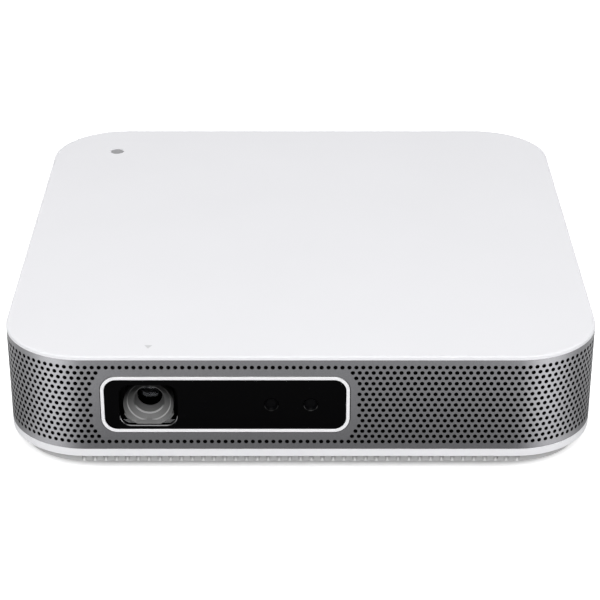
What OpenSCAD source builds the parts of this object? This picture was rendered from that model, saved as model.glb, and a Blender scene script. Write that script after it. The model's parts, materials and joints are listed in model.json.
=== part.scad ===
// Compact square projector: a perforated metal band between a white lid and a white base.
// Origin on the resting surface under the centre of the case. +X right, +Y back, +Z up.
// The lens looks out along -Y. All sizes are in millimetres.

/* [Case] */
// Side of the square case
case_side = 150; // [150:1:160]
// Height from the resting surface to the top of the lid
case_h = 32; // [32:0.5:36]
// Corner radius of the case, seen from above
corner_r = 21; // [16:1:24]
// Visible thickness of the lid's edge
lid_edge = 1; // [0.8:0.1:1.5]
// Radius along the lid's top edge
lid_round = 0.4; // [0.2:0.1:0.6]
// Visible height of the white strip of the base
base_strip = 2.2; // [1.8:0.1:2.6]
// Height of the base above the resting surface
base_z = 3.5; // [3.2:0.1:4]

/* [Perforated band] */
// Thickness of the perforated sheet
sheet_t = 0.5; // [0.4:0.1:0.8]
// Diameter of one hole
hole_d = 1.1; // [0.6:0.05:1.15]
// Number of rows of holes
hole_rows = 15; // [9:1:15]
// Distance between two rows
row_pitch = 1.51; // [1.4:0.01:1.6]
// Holes along one flat side
flat_cells = 63; // [40:1:66]
// Holes round one corner
corner_cells = 19; // [12:1:20]
// First perforated cell, counted from the left end of the front
first_cell = -19; // [-19:1:0]
// Last perforated cell, counted the same way
last_cell = 82; // [63:1:82]
// Bare margin round the window and the rear panel
hole_margin = 2.3; // [1.5:0.1:3]

/* [Front window] */
// Width of the window's bezel
bezel_w = 61.9; // [56:0.1:64]
// Height of the window's bezel
bezel_h = 15.7; // [14:0.1:17]
// Outer corner radius of the bezel
bezel_r = 4; // [3:0.1:6]
// Visible width of the bezel's ring
bezel_ring = 0.85; // [0.8:0.05:1.4]
// How far the bezel stands proud of the band
bezel_proud = 0.2; // [0.1:0.1:0.5]
// Distance of the window's centre to the left of the middle
window_left = 18.75; // [16:0.05:20]

/* [Lens] */
// Distance of the lens axis to the left of the middle
lens_left = 37.9; // [37:0.1:39]
// Height of the lens axis
lens_z = 18.2; // [17.5:0.1:19]
// Diameter of the hood's mouth
hood_d = 12.5; // [11:0.1:13]
// Diameter of the hood's throat
throat_d = 6.3; // [5:0.1:7]

/* [Controls and feet] */
// Diameter of the power button
button_d = 3.65; // [3:0.05:5]
// Distance between the plinth's pockets on a straight side
pocket_pitch = 2.75; // [2.5:0.05:4]
// Width of one pocket
pocket_w = 1.2; // [0.8:0.05:1.4]
// Pockets round one corner of the plinth
corner_pockets = 15; // [8:1:15]
// Width of the fold-out stand
stand_w = 54; // [40:1:56]
// Length of the fold-out stand
stand_len = 26; // [20:1:28]

/* [Hidden] */
$fn = 64;

// Levels
eps = 0.01;
half = case_side / 2;
front_y = -half;
rear_y = half;
strip_top = base_z + base_strip;
band_top = case_h - lid_edge;
lid_seat = band_top - 0.6;

// Perforation
flat_run = case_side - 2 * corner_r;
pitch = flat_run / flat_cells;
side_cells = flat_cells + corner_cells;
first_row_z = 28.97 - 32 + case_h;

// Walls behind the band
frame_gap = 0.2;
frame_t = 1.4;
frame_out = sheet_t + frame_gap;
frame_in = frame_out + frame_t;
frame_split = half - corner_r - 0.3;
vent_h = 19;
tab_h = 2;

// Front window and rear panel
window_x = -window_left;
window_z = 18.5;
neck_gap = 0.4;
glass_front = front_y - 0.1;
glass_t = 1.4;
eyes_x = [-7.3, 2.5];
eye_r = 1.7;
rear_x = 20;
rear_w = 60;

// Lens group, all on an axis along Y
lens_x = -lens_left;
hood_front = front_y + 0.5;
barrel_front = front_y + 9;
barrel_len = 18;
barrel_d = 15;
barrel_bore = 12.2;
screw_r = 1;
run_gap = 0.05;
rail_dx = 11.5;

// Optical box behind the lens
box_x0 = -56;
box_x1 = -16;
box_y0 = -35;
box_y1 = -4;
box_z0 = 8;
box_z1 = 28;
box_t = 1.5;

// Cooling
pipe_x = -65;
pipe_r = 2.5;
pipe_z = [13.5, 22.5];
fan_x = -31;
fan_y = 30;
fan_r = 19;
fan_z0 = 8;
fan_h = 14;

// Fastening
post_x = 64;
post_y = 44;
tripod_y = -10;
stand_pivot_y = -60;
stand_pivot_z = 2.2;
stand_t = 2;
pin_r = 0.8;

// Board with the rear sockets
board_z = 12;
board_t = 1.6;
board_top = board_z + board_t;
socket_end = rear_y - 0.4;
button_x = -56.3;
button_y = 57.8;

// ---------- outlines and helpers ----------

// Rounded rectangle about the origin
module rounded(w, h, r) {
    square([w - 2 * r, h], center = true);
    square([w, h - 2 * r], center = true);
    for (sx = [-1, 1], sy = [-1, 1])
        translate([sx * (w / 2 - r), sy * (h / 2 - r)]) circle(r);
}

// Outline of the case from above, drawn in by inset
module plan(inset = 0) {
    rounded(case_side - 2 * inset, case_side - 2 * inset, corner_r - inset);
}

// Wall that follows the case's outline between two insets
module wall_ring(outer, inner, z0, z1) {
    translate([0, 0, z0])
        linear_extrude(z1 - z0)
            difference() {
                plan(outer);
                plan(inner);
            }
}

// Upright slab: a flat outline in XZ, from y0 back to y1
module upright(y0, y1) {
    translate([0, y1, 0]) rotate([90, 0, 0]) linear_extrude(y1 - y0) children();
}

// Cylinder along Y from y0 to y1
module rod_y(r, y0, y1) {
    translate([0, y0, 0]) rotate([-90, 0, 0]) cylinder(r = r, h = y1 - y0);
}

// Box given by its lowest and highest corners
module block(low, high) {
    translate(low) cube(high - low);
}

module at_window() {
    translate([window_x, 0, window_z]) children();
}

module at_rear() {
    translate([rear_x, 0, window_z]) children();
}

module at_lens() {
    translate([lens_x, 0, lens_z]) children();
}

module at_board_holes() {
    for (x = [4, 54], y = [10, 60]) translate([x, y, 0]) children();
}

module at_posts() {
    for (sx = [-1, 1], sy = [-1, 1]) translate([sx * post_x, sy * post_y, 0]) children();
}

// ---------- lid, band, frame and base ----------

// Slab of the case's outline with its top edge rounded
module soft_edged_slab(z0, z1, edge) {
    straight = case_side - 2 * corner_r;
    module profile() {
        square([corner_r - edge, z1 - z0]);
        square([corner_r, z1 - z0 - edge]);
        translate([corner_r - edge, z1 - z0 - edge]) circle(edge);
    }
    translate([0, 0, z0]) {
        linear_extrude(z1 - z0) square(straight, center = true);
        for (a = [0 : 90 : 270]) rotate(a) {
            translate([straight / 2, straight / 2, 0]) rotate_extrude(angle = 90) profile();
            translate([straight / 2, straight / 2, 0])
                rotate([90, 0, 0]) linear_extrude(straight) profile();
        }
    }
}

module top_cover() {
    peg_r = 1.5;
    rib_h = 0.8;
    color("white") difference() {
        union() {
            soft_edged_slab(band_top, case_h, lid_round);
            translate([0, 0, lid_seat]) linear_extrude(band_top - lid_seat) plan(sheet_t + 0.1);
            at_posts() translate([0, 0, lid_seat - 4]) cylinder(r = peg_r, h = 4 + eps);
            // Stiffening ribs under the lid
            for (x = [-40 : 20 : 40])
                block([x - 0.6, -60, lid_seat - rib_h], [x + 0.6, 48, lid_seat + eps]);
        }
        translate([button_x, button_y, lid_seat - 1])
            cylinder(d = button_d + 0.25, h = case_h);
    }
}

// Distance of a point from a rounded rectangle's edge, negative inside
function edge_distance(x, z, w, h, r) =
    norm([max(abs(x) - w / 2 + r, 0), max(abs(z) - h / 2 + r, 0)]) - r;

function cell_x(v) = (v - flat_cells / 2) * pitch;

// True where the hole at v cells along a side, at height z, keeps clear of that side's opening
function is_clear(side, v, z) =
    side == 0 ? edge_distance(cell_x(v) - window_x, z - window_z, bezel_w, bezel_h, bezel_r) > hole_margin
    : side == 2 ? edge_distance(-cell_x(v) - rear_x, z - window_z, rear_w, bezel_h, bezel_r) > hole_margin
    : true;

// Puts its child on the outer face of the band, v cells along one of the four sides
module at_cell(side, v) {
    rotate(90 * side)
        if (v < flat_cells)
            translate([cell_x(v), front_y, 0]) children();
        else
            translate([flat_run / 2, -flat_run / 2, 0])
                rotate((v - flat_cells) * 90 / corner_cells)
                    translate([0, -corner_r, 0]) children();
}

// Staggered rows of round holes through the sheet
module perforation() {
    for (row = [0 : hole_rows - 1], cell = [first_cell : last_cell - 1]) {
        u = (cell + (row % 2 == 0 ? 0.5 : 0) + 4 * side_cells) % (4 * side_cells);
        side = floor(u / side_cells);
        v = u - side * side_cells;
        z = first_row_z - row * row_pitch;
        if (is_clear(side, v, z))
            at_cell(side, v) translate([0, 0, z]) rod_y(hole_d / 2, -1, sheet_t + 1);
    }
}

module perforated_band() {
    color("#75757a") difference() {
        wall_ring(0, sheet_t, strip_top, band_top);
        at_window() upright(front_y - 1, front_y + 2)
            rounded(bezel_w - neck_gap, bezel_h - neck_gap, bezel_r - neck_gap / 2);
        at_rear() upright(rear_y - 2, rear_y + 1)
            rounded(rear_w - neck_gap, bezel_h - neck_gap, bezel_r - neck_gap / 2);
        perforation();
    }
}

// Row of upright openings for air or sound, centred on the origin, in XZ
module air_slots(run, h) {
    step = 7;
    count = floor(run / step);
    for (i = [0 : count - 1])
        translate([(i - (count - 1) / 2) * step, 0]) square([step - 2, h], center = true);
}

// Walls behind the band, up to the lid: outline and posts before the openings are cut
module frame_walls() {
    post_r = 3.5;
    wall_ring(frame_out, frame_in, strip_top, lid_seat);
    at_posts() translate([0, 0, strip_top]) cylinder(r = post_r, h = lid_seat - strip_top);
    // Webs from the posts to the side walls, above the base's tabs
    for (sx = [-1, 1], sy = [-1, 1]) {
        wall_x = half - frame_in + 0.5;
        block([min(sx * post_x, sx * wall_x), sy * post_y - 0.8, strip_top + tab_h + 0.2],
              [max(sx * post_x, sx * wall_x), sy * post_y + 0.8, lid_seat]);
    }
}

module post_bores() {
    at_posts() {
        translate([0, 0, strip_top - 1]) cylinder(r = 1.15, h = 12);
        translate([0, 0, lid_seat - 4.4]) cylinder(r = 1.6, h = 6);
    }
}

// Front wall with both front corners, open behind the window
module inner_frame() {
    color("#2b2b2d") difference() {
        intersection() {
            frame_walls();
            block([-half, -half, 0], [half, -frame_split, case_h]);
        }
        at_window() upright(front_y, front_y + 4) square([bezel_w + 3, bezel_h + 2], center = true);
    }
}

// Rear wall with both rear corners; sound passes at its left
module rear_frame() {
    color("#2b2b2d") difference() {
        intersection() {
            frame_walls();
            block([-half, frame_split, 0], [half, half, case_h]);
        }
        at_rear() upright(rear_y - 4, rear_y) square([rear_w + 3, bezel_h + 2], center = true);
        translate([-31, 0, window_z]) upright(rear_y - 4, rear_y) air_slots(30, vent_h);
    }
}

// Left wall, where the blower's air goes out
module left_frame() {
    color("#2b2b2d") difference() {
        intersection() {
            frame_walls();
            block([-half, -frame_split, 0], [0, frame_split, case_h]);
        }
        post_bores();
        translate([0, -1, window_z]) rotate(90) upright(half - 4, half) air_slots(70, vent_h);
    }
}

// Right wall; sound passes in front of its middle
module right_frame() {
    color("#2b2b2d") difference() {
        intersection() {
            frame_walls();
            block([0, -frame_split, 0], [half, frame_split, case_h]);
        }
        post_bores();
        translate([0, -19, window_z]) rotate(-90) upright(half - 4, half) air_slots(36, vent_h);
    }
}

module base_cover() {
    boss_r = 6;
    lower_round = 0.2;
    color("white") difference() {
        union() {
            translate([0, 0, base_z + strip_top]) mirror([0, 0, 1])
                soft_edged_slab(base_z, strip_top, lower_round);
            // Three tabs inside each wall of the frame
            for (a = [0 : 90 : 270], x = [-34, 0, 34])
                rotate(a) translate([x, front_y + frame_in, strip_top - eps])
                    block([-6, 0.2, 0], [6, 1.4, tab_h]);
            translate([0, tripod_y, strip_top - eps]) cylinder(r = boss_r, h = 4.6);
        }
        at_posts() {
            translate([0, 0, base_z - 1]) cylinder(r = 1.45, h = 5);
            translate([0, 0, base_z - 1]) cylinder(r = 2.7, h = 2.2);
        }
        translate([0, tripod_y, base_z - 1]) cylinder(r = 4.02, h = 1 + 6.02);
        // Air inlet under the blower
        for (i = [-4 : 4])
            translate([fan_x + i * 4, fan_y, 0]) block([-1, -16, base_z - 1], [1, 16, strip_top + 1]);
    }
}

// Grey ring under the base; scooped U-shaped pockets run round its outer face
module slotted_plinth() {
    inset = 2.6;
    ring_t = 2;
    low_z = 0.5;
    pocket_floor = 0.85;
    pocket_tilt = 35;
    pocket_depth = 1;
    count = 2 * floor((flat_run / 2 - 1) / pocket_pitch) + 1;
    // Prism that slopes down towards the face, at the middle of the front
    module pocket() {
        translate([0, front_y + inset, pocket_floor + pocket_w / 2]) rotate([90 + pocket_tilt, 0, 0])
            translate([0, 0, -pocket_depth]) linear_extrude(pocket_depth + 2) {
                circle(d = pocket_w);
                translate([-pocket_w / 2, 0]) square([pocket_w, 4]);
            }
    }
    color("#a9a9ac") difference() {
        wall_ring(inset, inset + ring_t, low_z, base_z);
        for (a = [0 : 90 : 270]) rotate(a) {
            for (i = [0 : count - 1]) translate([(i - (count - 1) / 2) * pocket_pitch, 0, 0]) pocket();
            translate([flat_run / 2, -flat_run / 2, 0])
                for (i = [0 : corner_pockets - 1]) rotate((i + 0.5) * 90 / corner_pockets)
                    translate([0, flat_run / 2, 0]) pocket();
        }
    }
}

module rubber_feet() {
    foot_r = 5.5;
    round_r = 0.8;
    color("#3a3a3c") at_posts() rotate_extrude() {
        translate([0, round_r]) square([foot_r, base_z - round_r]);
        square([foot_r - round_r, base_z]);
        translate([foot_r - round_r, round_r]) intersection() {
            circle(round_r);
            translate([-round_r, -round_r]) square(2 * round_r);
        }
    }
}

module case_screws() {
    head_h = 1.1;
    color("silver") at_posts() difference() {
        union() {
            translate([0, 0, base_z + 0.05]) cylinder(r = 2.5, h = head_h);
            translate([0, 0, base_z + 0.1]) cylinder(r = 1.1, h = 10);
        }
        // Cross recess
        for (a = [0, 90]) rotate(a) block([-1.3, -0.25, base_z], [1.3, 0.25, base_z + 0.65]);
    }
}

module tripod_insert() {
    color("goldenrod") translate([0, tripod_y, base_z]) difference() {
        union() {
            cylinder(r = 4, h = 2);
            translate([0, 0, 2.6]) cylinder(r = 4, h = 3.4);
            cylinder(r = 3.6, h = 6);
        }
        translate([0, 0, -1]) cylinder(r = 2.55, h = 8);
    }
}

// Plate that folds out to tip the case back, with a finger notch at its free end
module tilt_stand() {
    color("#a9a9ac") translate([0, stand_pivot_y, stand_pivot_z]) difference() {
        union() {
            rotate([0, 90, 0]) cylinder(r = stand_t / 2, h = stand_w, center = true);
            translate([0, 0, -stand_t / 2]) linear_extrude(stand_t) {
                translate([-stand_w / 2, 0]) square([stand_w, stand_len - 4]);
                translate([-stand_w / 2 + 4, 0]) square([stand_w - 8, stand_len]);
                for (s = [-1, 1]) translate([s * (stand_w / 2 - 4), stand_len - 4]) circle(4);
            }
            rotate([0, 90, 0]) cylinder(r = pin_r, h = stand_w + 10, center = true);
        }
        translate([0, stand_len + 4, -stand_t]) cylinder(r = 8, h = 2 * stand_t);
        // Three windows that leave a frame and two webs
        for (i = [-1 : 1])
            translate([i * (stand_w - 6) / 3, stand_len / 2 - 2, -stand_t])
                linear_extrude(2 * stand_t) rounded(stand_w / 3 - 6, stand_len - 15, 2);
    }
}

// Two lugs under the base that carry the stand's pin
module stand_brackets() {
    lug_w = 5;
    lug_d = 4.8;
    low_z = 0.7;
    color("#a9a9ac") difference() {
        for (s = [-1, 1])
            translate([s * (stand_w / 2 + 0.4 + lug_w / 2) - lug_w / 2, stand_pivot_y, 0]) {
                translate([0, 0, (low_z + base_z) / 2]) rotate([90, 0, 90])
                    linear_extrude(lug_w) rounded(lug_d, base_z - low_z, 1.2);
                block([0, -lug_d / 2, base_z - 1.3], [lug_w, lug_d / 2, base_z]);
            }
        translate([-stand_w, stand_pivot_y, stand_pivot_z]) rotate([0, 90, 0])
            cylinder(r = pin_r + run_gap, h = 2 * stand_w);
    }
}

// Spacers on the base: four with studs under the main board, two tall ones under the button's board
module board_standoffs() {
    color("goldenrod") {
        at_board_holes() {
            translate([0, 0, strip_top]) cylinder(r = 2.5, h = board_z - strip_top);
            translate([0, 0, strip_top]) cylinder(r = 1.15, h = board_top - 0.1 - strip_top);
        }
        for (p = [[-60, 60], [-52, 62]])
            translate([p[0], p[1], strip_top]) cylinder(r = 2, h = 24 - strip_top);
    }
}

// ---------- front window and sensors ----------

module window_bezel() {
    inner_w = bezel_w - 2 * bezel_ring;
    inner_h = bezel_h - 2 * bezel_ring;
    color("white") at_window() difference() {
        union() {
            upright(front_y - bezel_proud, front_y) rounded(bezel_w, bezel_h, bezel_r);
            upright(front_y - eps, front_y + 3.4)
                rounded(bezel_w - neck_gap - 0.2, bezel_h - neck_gap - 0.2, bezel_r - 0.3);
        }
        upright(front_y - 1, glass_front + glass_t) rounded(inner_w, inner_h, bezel_r - bezel_ring);
        upright(front_y, front_y + 5) rounded(inner_w - 2.4, inner_h - 1.2, bezel_r - bezel_ring - 0.6);
    }
}

module front_window() {
    opening_w = hood_d + 1.6;
    opening_h = 11.2;
    opening_r = 2.7;
    color("#0a0a0b") difference() {
        at_window() upright(glass_front, glass_front + glass_t)
            rounded(bezel_w - 2 * bezel_ring - 0.1, bezel_h - 2 * bezel_ring - 0.1,
                    bezel_r - bezel_ring - 0.05);
        at_lens() upright(glass_front - 1, glass_front + 3) rounded(opening_w, opening_h, opening_r);
        for (x = eyes_x) translate([x, 0, window_z]) rod_y(eye_r + 0.1, glass_front - 1, glass_front + 3);
    }
}

// Stepped conical light trap round the lens, with flat walls above and below and two clips
module lens_hood() {
    mouth = hood_d / 2;
    throat = throat_d / 2;
    back = 5.4;
    flat_in = 5.25;
    flat_out = 5.5;
    clip_angle = 24;
    module turned(points) {
        translate([0, hood_front, 0]) rotate([-90, 0, 0]) rotate_extrude() polygon(points);
    }
    module between_flats(z) {
        intersection() {
            children();
            block([-mouth - 1, front_y - 2, -z], [mouth + 1, front_y + 10, z]);
        }
    }
    color("#6f6f70") at_lens() {
        difference() {
            between_flats(flat_out)
                turned([[0, 0], [mouth, 0], [mouth, 3.2], [throat + 1, back], [0, back]]);
            // Inner face, from the mouth past two lips to the throat
            between_flats(flat_in) turned([
                [0, -1], [mouth - 0.12, -1], [mouth - 0.12, 0], [5.5, 1.6], [5.3, 1.7], [5.3, 1.85],
                [3.95, 2.6], [3.7, 2.7], [3.7, 2.9], [throat + 0.1, 4.9], [throat, 5.1],
                [throat, back + 1], [0, back + 1]
            ]);
        }
        translate([0, hood_front, 0]) rotate([-90, 0, 0])
            for (a = [38, 142]) rotate(a - clip_angle / 2) rotate_extrude(angle = clip_angle)
                translate([mouth - 0.05, 0.6]) square([0.75, 1.8]);
    }
}

// Dished round eye in a square body; the eye stands in a hole of the window
module sensor_eye(x, body) {
    translate([x, 0, window_z]) difference() {
        union() {
            rod_y(eye_r, glass_front + 0.15, front_y + 6 + eps);
            block([-body / 2, front_y + 6, -body / 2], [body / 2, front_y + 8, body / 2]);
        }
        rod_y(eye_r - 0.4, glass_front - 1, glass_front + 0.7);
    }
}

module autofocus_camera() {
    color("#4a4a4d") sensor_eye(eyes_x[0], 7);
}

module distance_sensor() {
    color("#4a4a4d") sensor_eye(eyes_x[1], 5.5);
}

module sensor_board() {
    color("darkgreen") difference() {
        block([-12, front_y + 8, 11], [10, front_y + 9.2, 25.5]);
        for (x = [-10, 8]) translate([x, 0, 13]) rod_y(0.8, front_y + 6, front_y + 11);
    }
}

// ---------- moving lens and its drive ----------

// Lens barrel with a nut on the drive screw at the right and a sleeve on the rail at the left
module lens_carriage() {
    lug_y0 = barrel_front + 6;
    lug_y1 = barrel_front + 13;
    color("#333336") at_lens() difference() {
        union() {
            rod_y(barrel_d / 2, barrel_front, barrel_front + barrel_len);
            block([-rail_dx, lug_y0, -1.5], [rail_dx, lug_y1, 1.5]);
            for (s = [-1, 1]) translate([s * rail_dx, 0, 0]) rod_y(2.4, lug_y0, lug_y1);
        }
        rod_y(barrel_bore / 2, barrel_front - 1, barrel_front + 5);
        rod_y(barrel_bore / 2 - 0.8, barrel_front - 1, barrel_front + barrel_len + 1);
        rod_y(barrel_bore / 2, barrel_front + barrel_len - 4, barrel_front + barrel_len + 1);
        for (s = [-1, 1]) translate([s * rail_dx, 0, 0]) rod_y(screw_r + run_gap, lug_y0 - 1, lug_y1 + 1);
    }
}

// Biconvex element of edge radius r between two faces of radius curve, centred on y
module lens_element(r, curve, thick, y) {
    at_lens() translate([0, y, 0]) intersection() {
        translate([0, curve - thick / 2, 0]) rotate([90, 0, 0]) sphere(curve, $fn = 96);
        translate([0, thick / 2 - curve, 0]) rotate([90, 0, 0]) sphere(curve, $fn = 96);
        rod_y(r, -thick, thick);
    }
}

module front_lens() {
    color("lightsteelblue") lens_element(barrel_bore / 2 - 0.02, 14, 4.4, barrel_front + 2.8);
}

module rear_lens() {
    color("lightsteelblue") lens_element(barrel_bore / 2 - 0.02, 18, 3.4, barrel_front + barrel_len - 2);
}

module guide_rod() {
    color("silver") at_lens() translate([-rail_dx, 0, 0]) rod_y(screw_r, front_y + 6.8, box_y0);
}

module focus_screw() {
    color("silver") at_lens() translate([rail_dx, 0, 0]) {
        rod_y(screw_r, front_y + 6.8, box_y0 - 8);
        rod_y(1.6, box_y0 - 11.6, box_y0 - 10.6);
    }
}

module focus_motor() {
    motor_r = 4;
    color("#b5b5b8") at_lens() translate([rail_dx, 0, 0]) difference() {
        union() {
            rod_y(motor_r, box_y0 - 10, box_y0);
            block([-6, box_y0 - 1, -2.5], [6, box_y0, 2.5]);
        }
        rod_y(screw_r + run_gap, box_y0 - 11, box_y0 - 7.5);
    }
}

// Sheet-metal plate that holds the front ends of the rail and the screw
module focus_bracket() {
    color("#8c8c90") at_lens() difference() {
        upright(front_y + 6.7, front_y + 7.5) rounded(2 * rail_dx + 6, 16, 2);
        rod_y(barrel_bore / 2, front_y + 6, front_y + 8);
        translate([rail_dx, 0, 0]) rod_y(screw_r + run_gap, front_y + 6, front_y + 8);
        translate([-rail_dx, 0, 0]) rod_y(screw_r + 0.02, front_y + 6, front_y + 8);
    }
}

// ---------- optical box ----------

module optics_housing() {
    color("#9a9a9c") difference() {
        block([box_x0, box_y0, box_z0], [box_x1, box_y1, box_z1 - box_t]);
        block([box_x0 + box_t, box_y0 + box_t, box_z0 + box_t], [box_x1 - box_t, box_y1 - box_t, box_z1]);
        at_lens() rod_y(6, box_y0 - 1, box_y0 + 3);
        // Window for the light source in the left wall
        block([box_x0 - 1, -25, 13], [box_x0 + 3, -13, 23.4]);
    }
}

module optics_lid() {
    color("#9a9a9c") difference() {
        block([box_x0, box_y0, box_z1 - box_t], [box_x1, box_y1, box_z1]);
        for (x = [box_x0 + 4, box_x1 - 4], y = [box_y0 + 4, box_y1 - 4])
            translate([x, y, box_z1 - 0.6]) cylinder(r = 1.8, h = 1);
    }
}

module relay_lens() {
    color("lightsteelblue") lens_element(6, 13, 4, box_y0 + 5.5);
}

// Two glass wedges with an air gap between them
module prism() {
    side = 12;
    color("lightsteelblue") translate([lens_x - side / 2, -25, lens_z - side / 2]) linear_extrude(side) {
        polygon([[0, 0], [side - 0.2, 0], [0, side - 0.2]]);
        polygon([[side, side], [side, 0.2], [0.2, side]]);
    }
}

module imaging_chip() {
    color("#3d4f66") block([lens_x - 7, -12.6, lens_z - 5], [lens_x + 7, -11, lens_z + 5]);
}

module chip_board() {
    color("darkgreen") block([lens_x - 12, -11, lens_z - 8], [lens_x + 12, -9.8, lens_z + 8]);
}

module integrator_lens() {
    color("lightsteelblue") block([-46.8, -24, lens_z - 5], [-45.3, -14, lens_z + 5]);
}

module dichroic_mirror() {
    color("plum") translate([-50, -19, lens_z]) rotate(45) cube([0.8, 7.6, 10], center = true);
}

// One light source on the left wall and one on the front wall of the box
module led_modules() {
    module source() {
        block([-5, 0, -5], [5, 1, 5]);
        translate([0, 1 - eps, 0]) rod_y(2.4, 0, 1.1);
    }
    color("khaki") {
        translate([box_x0, -19, lens_z]) rotate(-90) source();
        translate([-49.4, box_y0 + box_t, lens_z]) source();
    }
}

// ---------- cooling ----------

module heat_spreader() {
    color("#b9bbbe") difference() {
        block([-71, box_y0, 9], [box_x0 - 1.2, -5, 27]);
        for (z = pipe_z) translate([pipe_x, 0, z]) rod_y(pipe_r + 0.03, box_y0 + 2, 0);
        for (i = [0 : 4]) block([-72, box_y0 - 1, 10.6 + i * 3.4], [-69, -4, 12.6 + i * 3.4]);
    }
}

module heat_pipes() {
    color("peru") for (z = pipe_z) translate([pipe_x, 0, z]) rod_y(pipe_r, box_y0 + 2.2, 34);
}

// Stack of thin fins on the two pipes, with folded rails above and below
module heat_sink() {
    fin_pitch = 2.2;
    fin_t = 0.5;
    color("#b9bbbe") difference() {
        union() {
            for (y = [8 : fin_pitch : 32]) block([-71, y, 9], [-59, y + fin_t, 27]);
            for (z = [9, 26.5]) block([-71, 8, z], [-59, 8 + 10 * fin_pitch + fin_t, z + 0.5]);
        }
        for (z = pipe_z) translate([pipe_x, 0, z]) rod_y(pipe_r + 0.03, 7, 34);
    }
}

// Floor and scroll wall of the centrifugal blower, open to the fins at the left
module blower_housing() {
    side = 48;
    color("#303033") translate([fan_x, fan_y, fan_z0]) {
        difference() {
            linear_extrude(fan_h - 1.2) rounded(side, side, 4);
            translate([0, 0, 1.2]) {
                cylinder(r = 22, h = fan_h);
                block([-side, -20, 0], [0, 0, fan_h]);
            }
        }
        translate([0, 0, 1.2 - eps]) cylinder(r = 1, h = 9);
    }
}

module blower_cover() {
    side = 48;
    color("#303033") translate([fan_x, fan_y, fan_z0 + fan_h - 1.2]) linear_extrude(1.2) difference() {
        rounded(side, side, 4);
        circle(14);
    }
}

// Hub, back plate and a ring of forward-curved blades
module blower_impeller() {
    blades = 24;
    blade_r = 4;
    color("#48484c") translate([fan_x, fan_y, fan_z0 + 1.8]) difference() {
        union() {
            cylinder(r = fan_r, h = 0.8);
            cylinder(r = 9, h = 8);
            linear_extrude(9.6) intersection() {
                difference() {
                    circle(fan_r);
                    circle(fan_r - 5);
                }
                for (i = [0 : blades - 1]) rotate(i * 360 / blades)
                    translate([fan_r - 2.5, blade_r]) difference() {
                        circle(blade_r);
                        circle(blade_r - 0.6);
                        translate([-blade_r, 0]) square(2 * blade_r);
                    }
            }
        }
        translate([0, 0, -1]) cylinder(r = 1 + run_gap, h = 10);
    }
}

// ---------- electronics, battery and sound ----------

module main_board() {
    color("darkgreen") difference() {
        block([-4, 2, board_z], [60, 66, board_top]);
        at_board_holes() translate([0, 0, board_z - 1]) cylinder(r = 1.2, h = 4);
    }
}

module processor() {
    color("#222224") block([20, 22, board_top], [36, 38, board_top + 1.4]);
}

module processor_heat_sink() {
    color("#b9bbbe") translate([18, 20, board_top + 1.4]) {
        cube([20, 20, 1.6]);
        for (i = [0 : 6]) translate([i * 3.1, 0, 1.6 - eps]) cube([1.2, 20, 5]);
    }
}

module battery_cells() {
    color("#3f6fa8") for (x = [22.6, 41.4]) translate([x, 0, 17.4]) {
        rod_y(9.2, -67, -3);
        rod_y(3.5, -3 - eps, -2);
    }
}

module battery_holder() {
    color("#2b2b2d") difference() {
        block([12.5, -68, strip_top + 0.1], [51.5, -1, 13]);
        for (x = [22.6, 41.4]) translate([x, 0, 17.4]) rod_y(9.25, -67.2, -1.8);
    }
}

// Closed sound box with a round-ended opening for its driver, facing +Y
module speaker_box(w, d, h) {
    difference() {
        block([-w / 2, -d, -h / 2], [w / 2, 0, h / 2]);
        block([-w / 2 + 1.5, -d + 1.5, -h / 2 + 1.5], [w / 2 - 1.5, -1.5, h / 2 - 1.5]);
        upright(-3, 1) rounded(w - 8, h - 6, (h - 6) / 2 - 0.05);
    }
}

module speaker_driver(w, h) {
    upright(-1.5, -0.3) difference() {
        rounded(w - 8.1, h - 6.1, (h - 6.1) / 2 - 0.05);
        rounded(w - 12, h - 10, (h - 10) / 2 - 0.05);
    }
    upright(-1.2, -0.6) rounded(w - 11.9, h - 9.9, (h - 9.9) / 2 - 0.05);
    rod_y(4, -7, -1.2);
}

module side_speaker_box() {
    color("#2b2b2d") translate([72, -19, window_z]) rotate(-90) speaker_box(37, 18, 20);
}

module side_speaker_driver() {
    color("#555558") translate([72, -19, window_z]) rotate(-90) speaker_driver(37, 20);
}

module rear_speaker_box() {
    color("#2b2b2d") translate([-31, 72, window_z]) speaker_box(34, 15, 20);
}

module rear_speaker_driver() {
    color("#555558") translate([-31, 72, window_z]) speaker_driver(34, 20);
}

// ---------- power button ----------

module button_board() {
    color("darkgreen") {
        block([-64, 55, 24], [-49, 65, 25.2]);
        translate([button_x, button_y + 0.2, 25.2]) {
            block([-2.6, -2.6, -eps], [2.6, 2.6, 2.4]);
            cylinder(r = 1.5, h = 3.9);
        }
    }
}

module power_button() {
    r = button_d / 2;
    top = case_h - 0.05;
    low = lid_seat - 0.8;
    edge = 0.12;
    dish = 0.1;
    color("#a5a5a8") translate([button_x, button_y, 0]) rotate_extrude()
        polygon([
            [0, low], [r + 1, low], [r + 1, low + 0.7], [r, low + 0.7], [r, top - edge],
            [r - edge, top], [r - 4 * edge, top], [r - 8 * edge, top - dish], [0, top - dish]
        ]);
}

// ---------- rear panel and sockets ----------

dc_x = 43;
hdmi_x = 26;
usb_x = 7;
jack_x = -5.5;
dc_z = board_top + 5.6;
hdmi_z = board_top + 2.8;
usb_z = board_top + 3;
jack_z = board_top + 3;

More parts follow.
